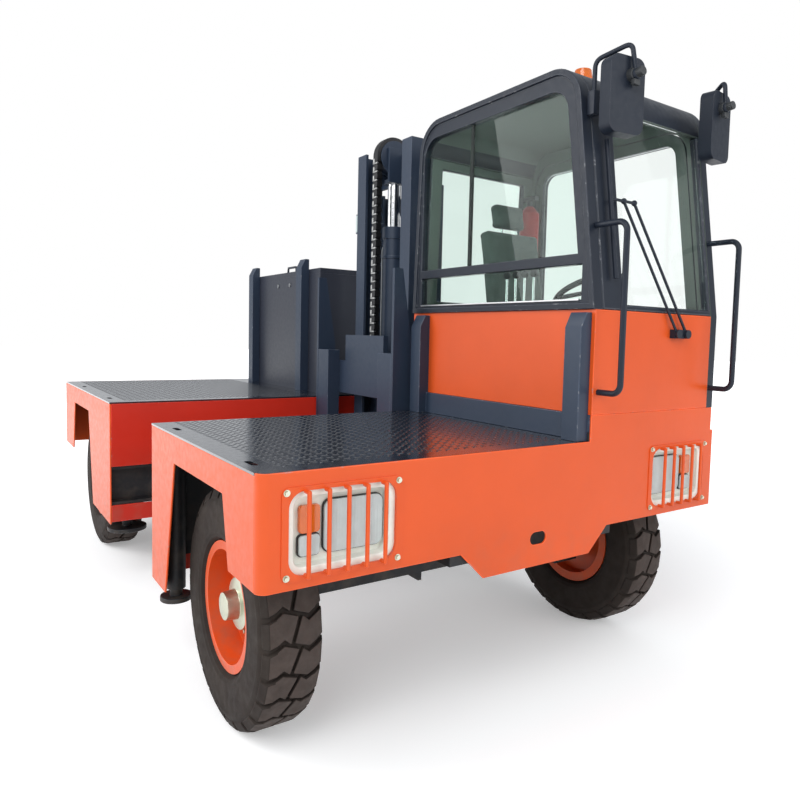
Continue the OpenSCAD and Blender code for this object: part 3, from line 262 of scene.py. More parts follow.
def recoat(piece, material, test):
    """Give another material to the faces whose corners and normal all pass a test."""
    piece.data.materials.append(material)
    index = len(piece.data.materials) - 1
    corners = piece.data.vertices
    for face in piece.data.polygons:
        if all(test(corners[i].co, face.normal) for i in face.vertices):
            face.material_index = index
    return piece


def loose_parts(piece):
    """Split a piece into the parts that don't touch."""
    take(piece)
    bpy.ops.mesh.separate(type="LOOSE")
    return list(bpy.context.selected_objects)


def tube(points, radius, bend):
    """A round tube through some points, with its bends rounded."""
    points = [Vector(point) for point in points]
    path = points[:1]
    for before, corner, after in zip(points, points[1:], points[2:]):
        start = corner + (before - corner).normalized() * bend
        end = corner + (after - corner).normalized() * bend
        for step in range(BEND_STEPS):
            share = step / (BEND_STEPS - 1)
            path.append(start.lerp(corner, share).lerp(corner.lerp(end, share), share))
    path.append(points[-1])
    curve = bpy.data.curves.new("tube", "CURVE")
    curve.dimensions = "3D"
    curve.bevel_depth = radius
    curve.bevel_resolution = 4
    curve.use_fill_caps = True
    spline = curve.splines.new("POLY")
    spline.points.add(len(path) - 1)
    for point, place in zip(spline.points, path):
        point.co = (*place, 1.0)
    piece = bpy.data.objects.new("tube", curve)
    bpy.context.scene.collection.objects.link(piece)
    take(piece)
    bpy.ops.object.convert(target="MESH")
    face_out()
    return bpy.context.object


def block(low, high, radius=0.0, segments=2):
    """A box between two corners with rounded edges."""
    low, high = Vector(low), Vector(high)
    deselect()
    bpy.ops.mesh.primitive_cube_add(size=1.0, location=(low + high) / 2)
    piece = bpy.context.object
    piece.scale = high - low
    apply_place(piece)
    if radius:
        round_edges(piece, radius, segments)
    return piece


def turned(start, end, radius, sides=20, rim=0.0):
    """A round bar between two points, its ends chamfered where a rim is given."""
    start, end = Vector(start), Vector(end)
    deselect()
    bpy.ops.mesh.primitive_cylinder_add(
        vertices=sides, radius=radius, depth=(end - start).length, location=(start + end) / 2)
    piece = bpy.context.object
    piece.rotation_euler = (end - start).to_track_quat("Z", "Y").to_euler()
    apply_place(piece)
    if rim:
        round_edges(piece, rim, 2, 50)
    return piece


def bolt(place, out, across):
    """A hexagon head on its washer, standing out from a face."""
    place, out = Vector(place), Vector(out)
    washer_t, washer_r, washer_rim = across * 0.12, across * 0.68, across * 0.03
    head_t, head_r, head_rim = across * 0.55, across * 0.5, across * 0.06
    washer = turned(place, place + out * washer_t, washer_r, 20, washer_rim)
    head = turned(place, place + out * head_t, head_r, 6, head_rim)
    return join([head, washer], "bolt")


def repeat_along(piece, step, count):
    """Copies of a piece in a straight row, joined to it."""
    return apply_modifier(
        piece, "ARRAY", count=count, use_relative_offset=False, use_constant_offset=True,
        constant_offset_displace=step)


def repeat_round(piece, centre, axis, count):
    """Copies of a piece round an axis, joined to it."""
    centre = Vector(centre)
    deselect()
    bpy.ops.object.empty_add()
    guide = bpy.context.object
    guide.matrix_world = (
        Matrix.Translation(centre) @ Matrix.Rotation(math.tau / count, 4, axis) @ Matrix.Translation(-centre))
    bpy.context.view_layer.update()
    apply_modifier(
        piece, "ARRAY", count=count, use_relative_offset=False, use_object_offset=True, offset_object=guide)
    take(guide)
    bpy.ops.object.delete()
    return piece


def mesh_piece(name, points, faces, edges=()):
    """A new piece from a few points, made the active one."""
    mesh = bpy.data.meshes.new(name)
    mesh.from_pydata(points, edges, faces)
    piece = bpy.data.objects.new(name, mesh)
    bpy.context.scene.collection.objects.link(piece)
    take(piece)
    return piece


def face_out():
    """Merge doubles and turn the active piece's faces outwards."""
    bpy.ops.object.mode_set(mode="EDIT")
    bpy.ops.mesh.select_all(action="SELECT")
    bpy.ops.mesh.remove_doubles(threshold=SEAM_MERGE)
    bpy.ops.mesh.normals_make_consistent(inside=False)
    bpy.ops.object.mode_set(mode="OBJECT")


def lathe(profile, centre, steps):
    """Spin a closed profile of radius and width round a wheel's axle, which lies along Y."""
    count = len(profile)
    points = [(centre[0], centre[1] + width, centre[2] + radius) for radius, width in profile]
    piece = mesh_piece("lathe", points, (), [(i, (i + 1) % count) for i in range(count)])
    bpy.ops.object.mode_set(mode="EDIT")
    bpy.ops.mesh.select_all(action="SELECT")
    bpy.ops.mesh.spin(steps=steps, angle=math.tau, center=centre, axis=(0, 1, 0))
    bpy.ops.object.mode_set(mode="OBJECT")
    face_out()
    return piece


# Material building


class Finish:
    """A material's nodes, added and wired one at a time."""

    def __init__(self, name):
        self.material = bpy.data.materials.new(name)
        self.material.use_nodes = True
        self.nodes = self.material.node_tree.nodes
        self.links = self.material.node_tree.links
        self.shader = self.nodes["Principled BSDF"]
        self.place = self.nodes.new("ShaderNodeTexCoord").outputs["Object"]

    def feed(self, target, value):
        """Wire a socket into a target, or set a plain value on it."""
        if isinstance(value, bpy.types.NodeSocket):
            self.links.new(value, target)
        elif isinstance(value, tuple) and target.type == "RGBA":
            target.default_value = (*value, 1.0)
        else:
            target.default_value = value

    def set(self, **values):
        """Set or wire the shader's sockets by their names, with _ for a space."""
        for key, value in values.items():
            self.feed(self.shader.inputs[key.replace("_", " ")], value)
        return self.material

    def stretched(self, scale):
        """Object coordinates with each axis scaled."""
        mapping = self.nodes.new("ShaderNodeMapping")
        self.links.new(self.place, mapping.inputs["Vector"])
        mapping.inputs["Scale"].default_value = scale
        return mapping.outputs["Vector"]

    def noise(self, scale, detail=4.0, rough=0.55, place=None):
        """Cloudy values round one half."""
        noise = self.nodes.new("ShaderNodeTexNoise")
        self.links.new(place or self.place, noise.inputs["Vector"])
        noise.inputs["Scale"].default_value = scale
        noise.inputs["Detail"].default_value = detail
        noise.inputs["Roughness"].default_value = rough
        return noise.outputs["Fac"]

    def cloud(self, scale, detail):
        """Soft clouds, from none to all."""
        return self.remap(self.noise(scale, detail), 0.35, 0.65)

    def uneven(self, scale, detail, low, high):
        """A value that wanders between two others."""
        return self.remap(self.noise(scale, detail), 0.3, 0.7, low, high)

    def remap(self, value, low, high, to_low=0.0, to_high=1.0):
        """A value moved from one range to another, and held inside it."""
        remap = self.nodes.new("ShaderNodeMapRange")
        self.links.new(value, remap.inputs["Value"])
        for key, number in (("From Min", low), ("From Max", high), ("To Min", to_low), ("To Max", to_high)):
            remap.inputs[key].default_value = number
        return remap.outputs["Result"]

    def math(self, operation, first, second):
        """One sum on two values."""
        node = self.nodes.new("ShaderNodeMath")
        node.operation = operation
        self.feed(node.inputs[0], first)
        self.feed(node.inputs[1], second)
        return node.outputs["Value"]

    def mix(self, share, first, second):
        """A colour between two colours."""
        node = self.nodes.new("ShaderNodeMix")
        node.data_type = "RGBA"
        self.feed(node.inputs["Factor"], share)
        self.feed(node.inputs["A"], first)
        self.feed(node.inputs["B"], second)
        return node.outputs["Result"]

    def axis(self, name):
        """One Object coordinate."""
        node = self.nodes.new("ShaderNodeSeparateXYZ")
        self.links.new(self.place, node.inputs["Vector"])
        return node.outputs[name]

    def bump(self, height, strength, distance=0.001):
        """Relief from a height."""
        node = self.nodes.new("ShaderNodeBump")
        node.inputs["Strength"].default_value = strength
        node.inputs["Distance"].default_value = distance
        self.links.new(height, node.inputs["Height"])
        self.links.new(node.outputs["Normal"], self.shader.inputs["Normal"])


def shade(colour, share):
    """A colour made darker or lighter."""
    return tuple(min(1.0, part * share) for part in colour)


finishes = {}


def kept(make):
    """Make a material once and hand the same one out again."""
    def handed(*key):
        if (make.__name__, *key) not in finishes:
            finishes[(make.__name__, *key)] = make(*key)
        return finishes[(make.__name__, *key)]
    return handed


def chosen(name):
    """A colour from the settings."""
    return tuple(getattr(bpy.context.scene.sideloader_colours, name))


@kept
def paint(name, gloss=PAINT_GLOSS, shine=PAINT_SHINE):
    """Sprayed paint: faint clouds, orange peel, and dust that settles low down."""
    colour = chosen(name)
    finish = Finish(name + "_paint")
    cloud = finish.cloud(1.7, 5.0)
    tone = finish.mix(cloud, shade(colour, 0.94), shade(colour, 1.04))
    low = finish.remap(finish.axis("Z"), 0.95, 0.25)
    dirt = finish.math("MULTIPLY", low, finish.remap(finish.noise(11.0, 8.0), 0.42, 0.74, 0.0, 0.4))
    rough = finish.uneven(33.0, 8.0, gloss - 0.05, gloss + 0.09)
    finish.bump(finish.noise(520.0, 2.0), 0.035)
    return finish.set(
        Base_Color=finish.mix(dirt, tone, DUST), Roughness=rough, Specular_IOR_Level=shine,
        Coat_Weight=shine * shine * 0.7, Coat_Roughness=gloss * 0.8)


@kept
def worn(name):
    """Paint rubbed thin along an edge, with bright and dull spots."""
    colour = chosen(name)
    finish = Finish(name + "_worn_edge")
    rubbed = finish.remap(finish.noise(26.0, 10.0, 0.7), 0.57, 0.66, 0.0, 0.55)
    light = finish.mix(finish.remap(finish.noise(7.0), 0.4, 0.6), shade(colour, 1.1), shade(colour, 1.35))
    finish.bump(finish.noise(300.0, 3.0), 0.06)
    return finish.set(
        Base_Color=finish.mix(rubbed, light, STEEL),
        Roughness=finish.uneven(40.0, 6.0, 0.32, 0.5))


def painted(name, gloss=PAINT_GLOSS, shine=PAINT_SHINE):
    """A paint and its worn edge."""
    return paint(name, gloss, shine), worn(name)


@kept
def cab_lining():
    """Smooth lining inside the cab, paler than its paint."""
    colour = chosen("lining")
    finish = Finish("cab_lining")
    cloud = finish.cloud(3.0, 4.0)
    finish.bump(finish.noise(420.0, 2.0), 0.02, 0.0006)
    return finish.set(
        Base_Color=finish.mix(cloud, shade(colour, 0.95), colour), Specular_IOR_Level=0.25,
        Roughness=finish.uneven(5.0, 4.0, 0.55, 0.65))


@kept
def seat_cloth():
    """Woven seat cloth."""
    colour = chosen("seat")
    finish = Finish("seat_cloth")
    weave = finish.noise(260.0, 2.0, 0.5, finish.stretched((1.0, 2.6, 1.0)))
    cloud = finish.cloud(9.0, 5.0)
    finish.bump(weave, 0.3, 0.0012)
    return finish.set(
        Base_Color=finish.mix(cloud, shade(colour, 0.82), shade(colour, 1.1)), Specular_IOR_Level=0.2,
        Roughness=finish.remap(weave, 0.3, 0.7, 0.8, 0.95), Sheen_Weight=0.15)


@kept
def moulding(name, rough=0.5):
    """Moulded plastic with a fine grain."""
    colour = chosen(name)
    finish = Finish(name + "_moulding")
    cloud = finish.cloud(6.0, 6.0)
    finish.bump(finish.noise(900.0, 3.0), 0.12, 0.0006)
    return finish.set(
        Base_Color=finish.mix(cloud, shade(colour, 0.88), shade(colour, 1.08)),
        Roughness=finish.uneven(60.0, 6.0, rough - 0.08, rough + 0.1))


@kept
def bare_metal(name, colour, rough=0.3):
    """Turned or plated steel with fine lines and small stains."""
    finish = Finish(name + "_metal")
    stain = finish.remap(finish.noise(18.0, 8.0), 0.45, 0.75, 0.0, 0.5)
    lines = finish.noise(60.0, 4.0, 0.6, finish.stretched((1.0, 1.0, 14.0)))
    finish.bump(lines, 0.06, 0.0005)
    return finish.set(
        Base_Color=finish.mix(stain, colour, shade(colour, 0.55)), Metallic=1.0,
        Roughness=finish.remap(lines, 0.3, 0.7, rough - 0.06, rough + 0.14))


def zinc():
    """Yellowish zinc plating."""
    return bare_metal("zinc", ZINC, 0.34)


def chrome():
    """Bright plating of levers and posts."""
    return bare_metal("lever", CHROME, 0.16)


@kept
def tyre_rubber():
    """Dusty brown-black rubber."""
    colour = chosen("tyre")
    finish = Finish("tyre_rubber")
    dust = finish.remap(finish.noise(5.0, 9.0, 0.65), 0.40, 0.75, 0.0, 0.45)
    finish.bump(finish.noise(240.0, 6.0), 0.22, 0.0012)
    return finish.set(
        Base_Color=finish.mix(dust, colour, shade(DUST, 0.24)), Specular_IOR_Level=0.22,
        Roughness=finish.uneven(22.0, 6.0, 0.66, 0.88))


@kept
def tread_rubber():
    """Grey-brown rubber scuffed by the road."""
    colour = shade(chosen("tyre"), 2.1)
    finish = Finish("tread_rubber")
    scuff = finish.remap(finish.noise(17.0, 9.0, 0.65), 0.35, 0.7)
    finish.bump(finish.noise(180.0, 6.0), 0.25, 0.0012)
    return finish.set(
        Base_Color=finish.mix(scuff, colour, shade(colour, 1.45)), Specular_IOR_Level=0.25,
        Roughness=finish.uneven(30.0, 6.0, 0.6, 0.85))


@kept
def soft_rubber():
    """Black rubber of seals and gaskets."""
    finish = Finish("seal_rubber")
    cloud = finish.cloud(30.0, 6.0)
    finish.bump(finish.noise(700.0, 3.0), 0.1, 0.0005)
    return finish.set(
        Base_Color=finish.mix(cloud, SEAL_DARK, SEAL_PALE),
        Roughness=finish.uneven(50.0, 4.0, 0.5, 0.7))


@kept
def window_glass(name):
    """Clear glass with a green tint and faint smears."""
    finish = Finish("window_" + name)
    smear = finish.remap(finish.noise(9.0, 8.0, 0.7), 0.5, 0.8, 0.0, 0.05)
    return finish.set(
        Base_Color=chosen(name), Roughness=smear, Transmission_Weight=1.0, IOR=1.2,
        Specular_IOR_Level=0.9)


@kept
def lens(name, ribs=0.0, through=0.6):
    """A coloured lamp lens, ribbed across where it has ribs."""
    colour = chosen(name) if name != "clear" else CLEAR_LENS
    finish = Finish(name + "_lens")
    cloud = finish.cloud(14.0, 4.0)
    if ribs:
        wave = finish.nodes.new("ShaderNodeTexWave")
        wave.bands_direction = "Y"
        finish.links.new(finish.place, wave.inputs["Vector"])
        wave.inputs["Scale"].default_value = ribs
        finish.bump(wave.outputs["Fac"], 0.22, 0.002)
    return finish.set(
        Base_Color=finish.mix(cloud, shade(colour, 0.9), colour), Transmission_Weight=through,
        Roughness=finish.uneven(45.0, 4.0, 0.08, 0.2), Coat_Weight=0.4)


# Pieces


class SIDELOADER_OT_panels(bpy.types.Operator):
    """Orange body panels and the red faces of the mast well"""
    bl_idname = "sideloader.panels"
    bl_label = "Body panels"

    def execute(self, context):
        edge = context.scene.sideloader_sizes.edge
        for node in ("front_panel", "load_side_panels", "far_side_panels", "rear_panel"):
            dress(node, edge, *painted("orange"))
        lower = dress("cab_lower_panels", edge, *painted("orange"))
        recoat(lower, cab_lining(), lambda point, normal: normal.y > FACING or normal.x < -FACING)
        dress("well_panels", edge, *painted("red"))
        return {"FINISHED"}


class SIDELOADER_OT_decks(bpy.types.Operator):
    """Tread plate decks"""
    bl_idname = "sideloader.decks"
    bl_label = "Decks"
    plate_edge = 0.002
    gloss = 0.18
    shine = 1.0
    # Strips left plain: at the ends, along the load side, along the far side and before the hood.
    end_strip = 0.03
    load_strip = 0.115
    far_strip = 0.03
    hood_strip = 0.09

    def treads(self, node, low, high):
        """Rows of raised lenses, turned by turns to one side and the other."""
        sizes = bpy.context.scene.sideloader_sizes
        pair = []
        for turn, shift in ((45, 0.0), (-45, 0.5)):
            deselect()
            bpy.ops.mesh.primitive_uv_sphere_add(segments=8, ring_count=4, radius=1.0)
            lens_piece = bpy.context.object
            bpy.ops.object.mode_set(mode="EDIT")
            bpy.ops.mesh.select_all(action="SELECT")
            bpy.ops.mesh.bisect(plane_co=(0, 0, -0.05), plane_no=(0, 0, 1), clear_inner=True, use_fill=True)
            bpy.ops.object.mode_set(mode="OBJECT")
            offset = shift * sizes.tread_step
            lens_piece.scale = (sizes.tread_l / 2, sizes.tread_w / 2, sizes.tread_h)
            lens_piece.rotation_euler = (0, 0, math.radians(turn))
            lens_piece.location = (low[0] + offset, low[1] + offset, high[2])
            pair.append(apply_place(lens_piece))
        piece = join(pair, node + "_treads")
        repeat_along(piece, (sizes.tread_step, 0, 0), int((high[0] - low[0]) / sizes.tread_step))
        repeat_along(piece, (0, sizes.tread_step, 0), int((high[1] - low[1]) / sizes.tread_step))
        coat(piece, paint("deck", self.gloss, self.shine))
        recoat(piece, worn("deck"), lambda point, normal: normal.z > 0.99)
        smooth(piece, 60)
        seat(piece, node + "_treads", node)

    def execute(self, context):
        for node in ("front_deck", "rear_deck", "far_steps"):
            dress(node, self.plate_edge, *painted("deck", self.gloss, self.shine))
        start = Vector((self.end_strip, self.load_strip, 0.0))
        low, high = span("front_deck")
        self.treads("front_deck", low + start, high - Vector((self.end_strip, self.far_strip, 0.0)))
        low, high = span("rear_deck")
        high.y = span("hood_box")[0].y
        self.treads("rear_deck", low + start, high - Vector((self.end_strip, self.hood_strip, 0.0)))
        return {"FINISHED"}


# The near mirror arm's bends from its pad to its ball, and the cab's middle, which the far one mirrors.
MIRROR_ARM = ((2.0797, 0.344, 2.720), (2.0797, 0.344, 2.952), (2.2235, 0.419, 3.004), (2.2420, 0.4295, 2.870))
MIRROR_PLACE = (2.1785, 0.419, 2.780)
MIRROR_TOE = 8
CAB_MIDDLE = 0.783


def across_cab(point, side):
    """A point of the near side, or its mirror image on the far side."""
    return point if side < 0 else (point[0], 2 * CAB_MIDDLE - point[1], point[2])


class SIDELOADER_OT_cab(bpy.types.Operator):
    """Cab frames, door, roof, windows, rails and mirrors"""
    bl_idname = "sideloader.cab"
    bl_label = "Cab shell"
    small_edge = 0.005
    wiper_edge = 0.003
    roof_facing = 0.6
    # Mirror arms: the height they stand above, their tube, and their pad's reach below and above its foot.
    arm_floor = 2.6
    arm_r = 0.011
    arm_bend = 0.035
    pad_below = Vector((0.022, 0.022, 0.013))
    pad_above = Vector((0.022, 0.022, 0.097))
    # Mirror heads: the clamp's knob, cup and wing, measured from the arm's ball, and the glass.
    head_edge = 0.024
    ball_drop = Vector((0.0, 0.0, 0.004))
    round_sides = 24
    knob_r = 0.021
    knob_start = Vector((0.004, 0, 0))
    knob_end = Vector((0.044, 0, 0.004))
    cup_r = 0.029
    cup_edge = 0.006
    cup_depth = Vector((0.045, 0, 0))
    wing_drop = Vector((0.0, 0.0, 0.042))
    wing_below = Vector((0.012, 0.020, 0.008))
    wing_above = Vector((0.012, 0.020, 0.018))
    mirror_half = Vector((0.002, 0.082, 0.150))
    mirror_edge = 0.0015
    mirror_back = 0.036
    # Side window: depths are from the frame's outer face.
    pane_edge_low = (1.2045, 0.034, 2.078)
    pane_edge_high = (1.2265, 0.050, 2.868)
    pane_edge_r = 0.003
    sill_low = (0.782, 0.006, 1.861)
    sill_high = (2.076, 0.020, 1.869)
    sill_r = 0.002
    side_glass_depth = 0.06

    def frames(self, edge):
        """Painted frames with a pale lining on the faces that look into the cab."""
        inward = {
            "cab_side_frame": lambda point, normal: normal.y > FACING,
            "cab_far_frame": lambda point, normal: normal.y < -FACING,
            "cab_door": lambda point, normal: normal.y < -FACING,
            "cab_roof": lambda point, normal: normal.z < -self.roof_facing,
            "cab_front_frame": lambda point, normal: normal.x < -FACING,
            "cab_rear_wall": lambda point, normal: normal.x > FACING}
        for node, test in inward.items():
            piece = dress(node, edge, *painted("cab", 0.36, CAB_SHINE), segments=3)
            recoat(piece, cab_lining(), test)

    def rails(self):
        """Grab rails, and mirror arms as smooth bent tubes on their pads."""
        parts = []
        for part in loose_parts(copy_of("cab_rails")):
            if min(corner.co.z for corner in part.data.vertices) < self.arm_floor:
                parts.append(part)
                continue
            take(part)
            bpy.ops.object.delete()
        for side in (-1, 1):
            points = [across_cab(point, side) for point in MIRROR_ARM]
            foot = Vector(points[0])
            parts.append(tube(points, self.arm_r, self.arm_bend))
            parts.append(block(foot - self.pad_below, foot + self.pad_above, self.small_edge))
        piece = coat(join(parts, "cab_rails"), paint("cab", 0.4, CAB_SHINE))
        smooth(piece)
        seat(piece, "cab_rails_dressed", "cab_rails")
        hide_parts("cab_rails")

    def mirrors(self):
        """Rounded mirror heads, a clamp knob on each and the glass behind."""
        dress("mirror_heads", self.head_edge, *painted("cab", 0.45, CAB_SHINE), segments=5)
        knobs, panes = [], []
        for side in (-1, 1):
            ball = Vector(across_cab(MIRROR_ARM[-1], side)) - self.ball_drop
            knobs.append(turned(
                ball + self.knob_start, ball + self.knob_end, self.knob_r, self.round_sides, self.small_edge))
            knobs.append(turned(ball - self.cup_depth, ball, self.cup_r, self.round_sides, self.cup_edge))
            wing = ball - self.wing_drop
            knobs.append(block(wing - self.wing_below, wing + self.wing_above, self.small_edge))
            pane = block(-self.mirror_half, self.mirror_half, self.mirror_edge)
            turn = math.radians(MIRROR_TOE) * side
            pane.rotation_euler = (0, 0, turn)
            back = Vector((-self.mirror_back * math.cos(turn), -self.mirror_back * math.sin(turn), 0))
            pane.location = Vector(across_cab(MIRROR_PLACE, side)) + back
            panes.append(apply_place(pane))
        for name, pieces, material in (
                ("mirror_knobs", knobs, moulding("trim", 0.45)),
                ("mirror_panes", panes, bare_metal("mirror", SILVER, 0.07))):
            piece = smooth(coat(join(pieces, name), material))
            seat(piece, name, "mirror_heads")

    def window_trim(self):
        """The sliding pane's upright edge and the bright sill under the low window."""
        face = Vector((0.0, span("cab_side_frame")[0].y, 0.0))
        edge = block(face + Vector(self.pane_edge_low), face + Vector(self.pane_edge_high), self.pane_edge_r)
        piece = smooth(coat(edge, soft_rubber()))
        seat(piece, "sliding_pane_edge", "cab_glass", "wiper")
        sill = block(face + Vector(self.sill_low), face + Vector(self.sill_high), self.sill_r)
        piece = smooth(coat(sill, bare_metal("sill", SILL_STEEL, 0.3)))
        seat(piece, "low_window_sill", "cab_side_frame")

    def execute(self, context):
        self.frames(context.scene.sideloader_sizes.cab_edge)
        self.rails()
        self.mirrors()
        dress("wiper", self.wiper_edge, *painted("cab", 0.42, CAB_SHINE))
        dress("door_glass", 0.0, window_glass("glass"))
        near = span("cab_side_frame")[0].y + self.side_glass_depth
        panes = dress("cab_glass", 0.0, window_glass("glass"))
        recoat(panes, window_glass("side_glass"), lambda point, normal: point.y < near)
        self.window_trim()
        return {"FINISHED"}


class SIDELOADER_OT_cab_inside(bpy.types.Operator):
    """Seat, column, console and extinguisher inside the cab"""
    bl_idname = "sideloader.cab_inside"
    bl_label = "Cab inside"
    trim_edge = 0.006
    # Filling: how far a pad may swell, its seams' radius, its mesh's fineness, the air's push and its time.
    swell = 0.012
    seam_r = 0.022
    fineness = 0.008
    air_push = 4.0
    air_frames = 20
    # Seat: its length, width and height, the hinge's way back from its front, and the back's lean in degrees.
    seat_l = 0.44
    seat_w = 0.48
    seat_h = 0.11
    seat_lift = 0.001
    hinge_back = 0.45
    back_lean = -10
    back_thick = 0.11
    # Back and head rest: foot and top above the hinge, thickness and width.
    upright_pads = (("back_pad", 0.014, 0.56, back_thick, 0.46), ("head_pad", 0.5605, 0.73, 0.09, 0.26))
    # Head rest's posts: their place to each side, their ends above the hinge and their radius.
    post_side = 0.06
    post_ends = (0.50, 0.62)
    post_r = 0.007
    post_edge = 0.002
    # Levers: their shafts' reach from the console's middle, and their knobs' height.
    shaft_reach = 0.009
    knob_h = 0.036
    bottle_edge = 0.004
    bottle_neck_h = 0.075

    def cushion(self, name, piece, floor=None):
        """Fill a pad with air until its sides swell, and round its seams."""
        round_edges(piece, self.seam_r, 3)
        take(piece)
        piece.data.remesh_voxel_size = self.fineness
        bpy.ops.object.voxel_remesh()
        before = [corner.co.copy() for corner in piece.data.vertices]
        cloth = piece.modifiers.new("filling", "CLOTH")
        cloth.settings.use_pressure = True
        cloth.settings.uniform_pressure_force = self.air_push
        cloth.settings.effector_weights.gravity = 0.0
        for step in range(1, self.air_frames + 1):
            bpy.context.scene.frame_set(step)
        take(piece)
        bpy.ops.object.modifier_apply(modifier=cloth.name)
        for corner, start in zip(piece.data.vertices, before):
            move = corner.co - start
            if move.length > self.swell:
                corner.co = start + move.normalized() * self.swell
            if floor is not None:
                corner.co.z = max(corner.co.z, floor)
        bpy.context.scene.frame_set(1)
        apply_modifier(piece, "SUBSURF", levels=1, render_levels=1)
        smooth(coat(piece, seat_cloth()), 60)
        seat(piece, name, "seat_cushions")
        return piece

    def seat_pads(self):
        """Seat, back and head rest, each drawn in so that it swells to its own room."""
        low, high = span("seat_cushions")
        middle = (low.y + high.y) / 2
        half = self.seat_w / 2
        inset = self.swell
        floor = low.z + self.seat_lift
        seat_top = low.z + self.seat_h
        pad = self.cushion("seat_pad", block(
            (high.x - self.seat_l + inset, middle - half + inset, floor),
            (high.x - inset, middle + half - inset, seat_top - inset)), floor)
        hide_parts("seat_cushions")
        hinge = Vector((high.x - self.hinge_back, middle, seat_top))
        lean = Matrix.Rotation(math.radians(self.back_lean), 4, "Y")
        for name, foot, top, thick, wide in self.upright_pads:
            back = (self.back_thick - thick) / 2
            pad = block(
                (back + inset, inset - wide / 2, foot + inset),
                (back + thick - inset, wide / 2 - inset, top - inset))
            pad.matrix_world = Matrix.Translation(hinge) @ lean
            apply_place(pad)
            self.cushion(name, pad)
        posts = []
        for side in (-1, 1):
            foot, top = [
                hinge + lean @ Vector((self.back_thick / 2, side * self.post_side, z))
                for z in self.post_ends]
            posts.append(turned(foot, top, self.post_r, 16, self.post_edge))
        piece = smooth(coat(join(posts, "head_posts"), chrome()))
        seat(piece, "head_posts", "seat_cushions")

    def execute(self, context):
        for node in ("cab_floor", "seat_base", "steering_wheel"):
            dress(node, self.trim_edge, moulding("trim"))
        console = dress("control_console", self.trim_edge, moulding("trim"))
        low, high = span("control_console")
        shaft_top = high.z - self.knob_h
        recoat(console, chrome(), lambda point, normal: (
            abs(point.y - (low.y + high.y) / 2) < self.shaft_reach and point.z < shaft_top
            and abs(normal.z) < 0.3 and math.hypot(normal.x, normal.y) > 0.5))
        self.seat_pads()
        bottle = dress("fire_extinguisher", self.bottle_edge, *painted("tail"))
        neck = span("fire_extinguisher")[1].z - self.bottle_neck_h
        recoat(bottle, moulding("trim"), lambda point, normal: point.z > neck)
        return {"FINISHED"}


class SIDELOADER_OT_lamps(bpy.types.Operator):
    """Headlamps with their guards, flashers, beacon and tail lamps"""
    bl_idname = "sideloader.lamps"
    bl_label = "Lamps"
    # Gaskets: their depth as a share of the lens, how much wider they are and how far they sit back.
    gasket_depth = 0.55
    gasket_wider = 0.006
    gasket_back = 0.004
    # Guards: their plates' thickness, and the bolts' place from the corner and width across flats.
    guard_plate_t = 0.005
    bolt_inset = 0.017
    bolt_across = 0.018
    housing_edge = 0.006
    lens_edge = 0.004
    guard_edge = 0.001
    tail_edge = 0.005
    # Ribs: the scale of the bands across the lenses.
    head_ribs = 26.0
    tail_ribs = 20.0

    def gaskets(self):
        """A dark gasket round the foot of each lens."""
        parts = []
        for part in loose_parts(copy_of("headlamp_lenses")):
            take(part)
            bpy.ops.object.origin_set(type="ORIGIN_GEOMETRY", center="BOUNDS")
            wide, tall = part.dimensions.y, part.dimensions.z
            part.scale = (
                self.gasket_depth, (wide + self.gasket_wider) / wide, (tall + self.gasket_wider) / tall)
            part.location.x -= self.gasket_back
            parts.append(apply_place(part))
        piece = smooth(coat(join(parts, "lens_gaskets"), soft_rubber()))
        seat(piece, "lens_gaskets", "headlamp_lenses", "wiper")

    def guard_bolts(self):
        """A zinc bolt at each corner of the guards' plates."""
        face = span("front_panel")[1].x + self.guard_plate_t
        bolts = []
        for part in loose_parts(copy_of("headlamp_guards")):
            low = [min(corner.co[i] for corner in part.data.vertices) for i in range(3)]
            high = [max(corner.co[i] for corner in part.data.vertices) for i in range(3)]
            for y in (low[1] + self.bolt_inset, high[1] - self.bolt_inset):
                for z in (low[2] + self.bolt_inset, high[2] - self.bolt_inset):
                    bolts.append(bolt((face, y, z), (1, 0, 0), self.bolt_across))
            take(part)
            bpy.ops.object.delete()
        piece = smooth(coat(join(bolts, "guard_bolts"), zinc()))
        seat(piece, "guard_bolts", "headlamp_guards")

    def execute(self, context):
        self.gaskets()
        self.guard_bolts()
        dress("headlamp_housings", self.housing_edge, moulding("lamp", 0.4), segments=3)
        dress("headlamp_lenses", self.lens_edge, lens("clear", self.head_ribs, 0.35))
        dress("amber_lamps", self.lens_edge, lens("amber", 0.0, 0.3))
        dress("headlamp_guards", self.guard_edge, *painted("orange"))
        dress("tail_lamps", self.tail_edge, lens("tail", self.tail_ribs, 0.3))
        return {"FINISHED"}


